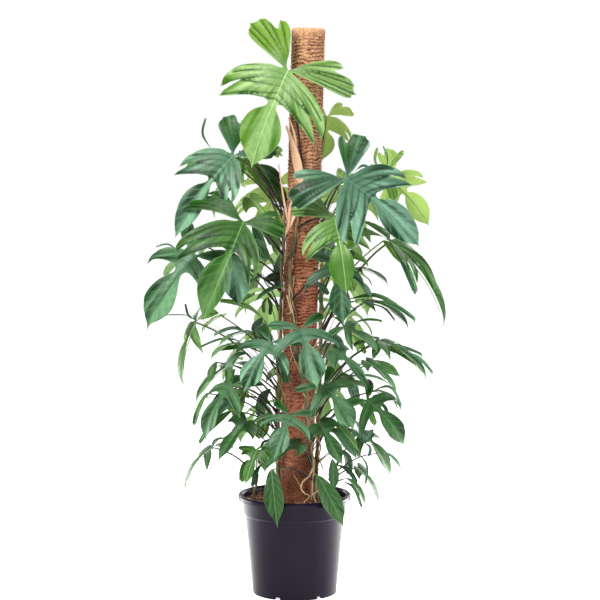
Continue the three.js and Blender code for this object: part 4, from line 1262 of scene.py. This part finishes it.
def makeSoil():
    sides, hole, wall = soilShape["round"], soilShape["hole"], soilShape["wall"]
    middle = poleX(pole["soil"])
    loops = [(middle, hole, height) for height in soilShape["holeFrom"]]
    for i in range(soilShape["rings"] + 1):
        t = i / soilShape["rings"]
        loops.append((middle * (1 - t), hole + (wall - hole) * t, None))
    loops += [(0, radius, height) for radius, height in soilShape["below"]]
    points = []
    for centre, radius, height in loops:
        for k in range(sides):
            turn = 2 * math.pi * k / sides
            x, y = centre + radius * math.cos(turn), radius * math.sin(turn)
            points.append((x * mm, y * mm, (soilHeight(x, y) if height is None else height) * mm))
    *rings, first, last = ringFaces(len(loops), sides)
    faces = [(a, d, c, b) for a, b, c, d in rings] + [first[::-1], last[::-1]]  # turned over
    peat = soilFinish("peat", rgb(30, 16, 12), rgb(110, 62, 44), 420.0)
    made = meshPiece("potting_soil", points, faces, [peat])
    smoothByAngle(made, 50)
    return made


def makeChips():
    draw = random.Random(soilShape["seed"])
    finishes = [
        soilFinish("dark bark", rgb(44, 22, 16), rgb(116, 62, 44), 500.0),
        soilFinish("tan bark", rgb(132, 84, 62), rgb(212, 162, 130), 500.0),
    ]
    bpy.ops.mesh.primitive_ico_sphere_add(subdivisions=1, radius=1, location=(0, 0, 0))
    ball = bpy.context.object
    corners = [v.co.copy() for v in ball.data.vertices]
    sides = [tuple(f.vertices) for f in ball.data.polygons]
    bpy.data.objects.remove(ball)
    made = []
    for finish, count in zip(finishes, (soilShape["chips"], soilShape["chips"] // 3)):
        parts = []
        for _ in range(count):
            far = math.sqrt(draw.uniform(0.12, 1)) * soilShape["chipRing"]
            turn = draw.uniform(0, 2 * math.pi)
            x, y = far * math.cos(turn), far * math.sin(turn)
            if math.hypot(x - poleX(pole["soil"]), y) < soilShape["chipClear"]:
                continue
            long = draw.uniform(*soilShape["chipLong"])
            size = (long, long * draw.uniform(0.3, 0.7), draw.uniform(*soilShape["chipThick"]))
            flat = Matrix.Rotation(draw.uniform(0, 6.3), 3, "Z")
            lie = flat @ Matrix.Rotation(draw.uniform(-0.5, 0.5), 3, "X") @ Matrix.Diagonal(size)
            at = Vector((x, y, soilHeight(x, y) + 0.5))
            parts.append(([(lie @ (co * draw.uniform(0.75, 1.2)) + at) * mm for co in corners], sides))
        made.append(meshPiece("chips", *gathered(parts), [finish]))
    return joinInto("bark_chips", made)


soil = makeSoil()
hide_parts("soil")
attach(soil, "root")
chips = makeChips()
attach(chips, "root")
print("stage: soil laid")

# coir pole: cord wound round and round, each turn a little out of line, with loose fibres
coir = {
    "round": 112, "rise": 1.85, "foot": 165, "pitch": 8.2, "proud": 2.6, "wander": 6.5,
    "rim": [(3.5, 0.96), (1, 0.87), (0, 0.74), (1, 0.4)],  # how far below the top, part of the radius
    "bareFrom": 9, "bareOver": 14,  # no cord shows this far below the top, then ever more
    "mattedTo": 640, "mattedFrom": 380, "mattedCord": 0.4,  # the lower cord is matted over
    "fibres": 5200, "fibreThick": (0.18, 0.42), "fibreLift": 6.5, "seed": 11,
    "fresh": (rgb(222, 174, 134), rgb(246, 210, 172)),
    "aged": (rgb(174, 112, 88), rgb(210, 148, 120)),
    "wet": (rgb(164, 106, 84), rgb(198, 142, 114)),
    "freshFrom": (0.75, 1.25), "wetTo": (0.3, 0.62),  # heights in metres
    "shadeTint": (0.52, 0.38, 0.32), "litTint": (1.7, 1.6, 1.5), "crumbTint": (0.56, 0.42, 0.34),
    # the last tint paints shade into the gaps between the windings
    "fibreTint": (2.0, 1.9, 1.8), "gapShadeTint": (0.24, 0.14, 0.11),
}


def held(value, low=0, high=1):
    return min(max(value, low), high)


def coirNoise(turn, z, wide, tall, shift=0):
    return noise.noise(Vector((math.cos(turn) * wide, math.sin(turn) * wide, z / tall + shift)))


def coirRadius(turn, z):
    slow = Vector((math.cos(turn) * 1.4, math.sin(turn) * 1.4, z / 40))
    sway = coir["wander"] * noise.noise(slow) + 3.0 * noise.noise(slow * 2.7)
    level = (z - coir["pitch"] * turn / (2 * math.pi) + sway) / coir["pitch"]
    cord = abs(math.sin(math.pi * level)) ** 1.1
    bare = held((pole["top"] - coir["bareFrom"] - z) / coir["bareOver"])
    tied = bare * held(0.9 + coirNoise(turn, z, 2.1, 23, 5), 0.3)
    free = held((z - coir["mattedFrom"]) / (coir["mattedTo"] - coir["mattedFrom"]))
    tied *= coir["mattedCord"] + (1 - coir["mattedCord"]) * free
    lumps, rough = coirNoise(turn, z, 7, 7), coirNoise(turn, z, 19, 2.4)
    cord = 1 - tied * (1 - cord)
    # painted shade: darker in the gaps between windings and on low lumps
    shade = held(cord * (0.72 + 0.5 * lumps) + 0.22 * rough)
    return pole["radius"] - 0.9 + coir["proud"] * cord + lumps + 1.1 * rough, shade


def coirFinish():
    made, tree, inputs = newFinish("coir cord", Roughness=0.95, Specular_IOR_Level=0.24)
    place = onPiece(tree)
    # cord is the painted shade of the windings, stray marks loose fibres
    cord, stray, *_ = painted(tree, "paint")
    patches = grain(tree, place, 16.0, 4.0, 0.6)
    uneven = times(tree, maths(tree, "SUBTRACT", patches, 0.5), 0.7)
    level = maths(tree, "ADD", axesOf(tree, place)[2], uneven)
    fresh, aged, wet = (mixed(tree, patches, *coir[tone]) for tone in ("fresh", "aged", "wet"))
    body = mixed(tree, between(tree, level, *coir["freshFrom"]), aged, fresh)
    body = mixed(tree, between(tree, level, *coir["wetTo"]), wet, body)
    bent = times(tree, maths(tree, "SUBTRACT", grain(tree, place, 55.0, 2.0), 0.5), 0.05)
    bend = addNode(tree, "CombineXYZ", {2: bent}).outputs[0]
    tilted = addNode(tree, "VectorMath", {0: place, 1: bend}).outputs[0]
    hairs = grain(tree, stretched(tree, tilted, (230.0, 230.0, 760.0)), 1.0, 5.0, 0.75)
    body = mixed(tree, between(tree, hairs, 0.36, 0.66), tinted(tree, body, coir["shadeTint"]), body)
    lit = between(tree, hairs, 0.56, 0.74, (0.0, 0.55))
    body = mixed(tree, lit, body, tinted(tree, body, coir["litTint"]))
    crumbs = between(tree, grain(tree, place, 330.0, 4.0, 0.7), 0.38, 0.62)
    body = mixed(tree, crumbs, tinted(tree, body, coir["crumbTint"]), body)
    body = mixed(tree, times(tree, stray, 0.6), body, tinted(tree, body, coir["fibreTint"]))
    # painted shade in the gaps between the windings, from the shade that coirRadius gives
    body = mixed(tree, between(tree, cord, 0.12, 0.72), tinted(tree, body, coir["gapShadeTint"]), body)
    dressed(tree, inputs, body, hairs, 1.0, 2.2 * mm)
    return made


def leaned(spot):
    foot = Vector((pole["footX"], 0, pole["soil"]))
    return (Matrix.Rotation(math.radians(pole["lean"]), 3, "Y") @ spot + foot) * mm


def makeCoir(finish):
    sides, top = coir["round"], pole["top"]
    count = int((top - 8 - coir["foot"]) / coir["rise"])
    rows = [(coir["foot"] + coir["rise"] * i, 1.0) for i in range(count + 1)]
    rows += [(top - below, inset) for below, inset in coir["rim"]]
    points, paint = [], []
    for z, inset in rows:
        for k in range(sides):
            turn = 2 * math.pi * k / sides
            # cord here is the painted shade that coirRadius returns
            radius, cord = coirRadius(turn, z)
            radius *= inset
            x, y = radius * math.cos(turn), radius * math.sin(turn)
            drop = 1.2 * noise.noise(Vector((x / 5, y / 5, z / 7))) if inset < 1 else 0
            points.append(leaned(Vector((x, y, z - pole["soil"] + drop))))
            # the paint carries the painted shade of the windings
            paint.append((cord if inset == 1.0 else 0.8, 0, 0, 1))
    return paintedPiece("coir_wrap", points, ringFaces(len(rows), sides), finish, paint)


def makeFibres(finish):
    draw = random.Random(coir["seed"])
    parts, paint = [], []
    for _ in range(coir["fibres"]):
        z = draw.uniform(pole["soil"], pole["top"] - 1)
        turn = draw.uniform(0, 2 * math.pi)
        swing, climb = draw.uniform(0.06, 0.26) * draw.choice((-1, 1)), draw.uniform(-9, 9)
        lift = draw.uniform(0.2, 1) ** 2 * coir["fibreLift"]
        line = []
        for step in (0, 0.35, 0.7, 1):
            a = turn + swing * step
            off = coirRadius(a, z)[0] - 0.5 + lift * step * step
            height = z + climb * step * step - pole["soil"]
            line.append(leaned(Vector((off * math.cos(a), off * math.sin(a), height))))
        thick = draw.uniform(*coir["fibreThick"]) * mm
        points, faces, _ = tube(line, [thick, thick, thick * 0.8, thick * 0.4], 3)
        parts.append((points, faces))
        paint += [(draw.uniform(0.6, 1), draw.random(), 0, 1)] * len(points)
    made = meshPiece("coir_fibres", *gathered(parts), [finish])
    paintOn(made, paint)
    return made


coirCord = coirFinish()
wrap = makeCoir(coirCord)
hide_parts("pole_coir")
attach(wrap, "root")
fibres = makeFibres(coirCord)
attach(fibres, "root")
stakeFinish, tree, inputs = newFinish("stake wood", Roughness=0.75)
rings = grain(tree, stretched(tree, onPiece(tree), (220.0, 220.0, 8.0)), 1.0, 4.0)
tree.links.new(mixed(tree, rings, rgb(110, 76, 44), rgb(168, 126, 82)), inputs["Base Color"])
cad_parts["pole_stake"].data.materials.clear()
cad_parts["pole_stake"].data.materials.append(stakeFinish)
print("stage: coir pole wound")

# aerial roots: they leave the stems at their nodes and cling to the pole, run down beside the stem or go
# into the soil
roots = {
    "perStem": {
        "stem_front": 16, "stem_left": 10, "stem_right": 10, "stem_back_left": 9, "stem_back_right": 9,
    },
    "thick": 1.15, "onPole": 43.4, "from": 280, "below": 20, "lowest": 236, "sides": 7, "seed": 23,
    "runners": 12, "runnerThick": 1.3, "runnerOff": (51, 4.5), "runnerFrom": 300, "runnerLowest": 234,
    "toSoil": [  # half width and tone (0 dark, 1 pale), then the points on the way down
        [2.0, 1.0, (46, -46, 344), (45, -50, 321), (36, -56, 300), (20, -62, 286), (16, -62, 271),
         (25, -60, 257), (36, -58, 250), (25, -62, 238), (21, -62, 228)],
        [1.5, 0.9, (72, -42, 285), (60, -50, 265), (50, -54, 257), (36, -58, 249)],
        [1.0, 0.8, (-2, -48, 302), (3, -52, 294), (18, -60, 268), (25, -61, 256)],
        [1.6, 0.8, (48, -44, 330), (44, -50, 277), (45, -54, 254), (55, -56, 229)],
        [1.9, 0.25, (50, -44, 400), (64, -46, 372), (60, -48, 347), (67, -48, 322), (78, -46, 298),
         (91, -44, 272), (94, -44, 228)],
        [1.5, 0.35, (44, -46, 420), (47, -50, 392), (41, -52, 366), (50, -50, 335), (45, -52, 312),
         (56, -50, 280), (60, -48, 229)],
        [1.0, 0.9, (-38, -36, 350), (-41, -42, 336), (-46, -42, 310), (-47, -44, 279), (-41, -46, 229)],
        [1.6, 0.6, (92, 10, 330), (96, 8, 280), (90, 4, 230)],
    ],
}


def rootFinish():
    made, tree, inputs = newFinish("aerial root skin", Roughness=0.7)
    place = onPiece(tree)
    patches = between(tree, grain(tree, place, 60.0, 4.0), 0.35, 0.65)
    dark = mixed(tree, patches, rgb(66, 38, 24), rgb(124, 86, 54))
    pale = mixed(tree, patches, rgb(164, 128, 84), rgb(222, 192, 150))
    body = mixed(tree, painted(tree, "paint")[0], dark, pale)
    dressed(tree, inputs, body, grain(tree, place, 500.0), 0.5, 0.8 * mm)
    return made


def turnAt(spot, z):
    return math.atan2(spot.x - poleX(z), -spot.y)


def clingingRoot(climb, i, count, draw):
    span = climb[-1][0] - roots["from"] - roots["below"]
    z = roots["from"] + span * (i + draw.uniform(0.1, 0.9)) / count
    turn = turnAt(climbAt(climb, z), z)
    side = draw.choice((-1, 1))
    reach, fall = draw.uniform(0.5, 1.5), draw.uniform(10, 90)
    line = []
    for k in range(9):
        t = k / 8
        zed = max(roots["lowest"], z - fall * t + 3 * math.sin(7 * t + i))
        inwards = (roots["onPole"] - climbing["off"]) * min(1, 2.2 * t)
        off = climbing["off"] + inwards + 1.2 * math.sin(5 * t + z)
        line.append(roundPole(zed, math.degrees(turn + side * reach * t ** 0.8), off))
    return line, roots["thick"] * draw.uniform(0.6, 1.3)


def runningRoot(climb, draw):
    tip = climb[-1][0]
    top = draw.uniform(roots["runnerFrom"], tip)
    long = draw.uniform(70, 220)
    drift, swing = draw.uniform(-9, 9), draw.uniform(0, 6)
    off, wave = roots["runnerOff"]
    line = []
    for k in range(12):
        zed = max(roots["runnerLowest"], top - long * k / 11)
        turn = math.degrees(turnAt(climbAt(climb, min(zed, tip)), zed)) + drift
        turn += 5 * math.sin(swing + k * 0.8)
        line.append(roundPole(zed, turn, off + wave * math.cos(swing + k * 0.7)))
    return line, roots["runnerThick"] * draw.uniform(0.5, 1.3)


def makeRoots():
    draw = random.Random(roots["seed"])
    grown = []
    for name, count in roots["perStem"].items():
        climb = climbs[name]
        grown += [clingingRoot(climb, i, count, draw) + (draw.uniform(0, 0.5),) for i in range(count)]
        grown += [runningRoot(climb, draw) + (draw.uniform(0.1, 1),) for _ in range(roots["runners"])]
    grown += [([Vector(p) for p in line], thick, tone) for thick, tone, *line in roots["toSoil"]]
    parts, paint = [], []
    for line, thick, tone in grown:
        fine = [p * mm for p in curveThrough(line, 3)]
        radii = [thick * (1.25 - 0.9 * k / (len(fine) - 1)) * mm for k in range(len(fine))]
        points, faces, _ = tube(fine, radii, roots["sides"])
        parts.append((points, faces))
        paint += [(tone, 0, 0, 1)] * len(points)
    return paintedPiece("aerial_roots", *gathered(parts), rootFinish(), paint)


aerial = makeRoots()
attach(aerial, "root")
print("stage: aerial roots grown")
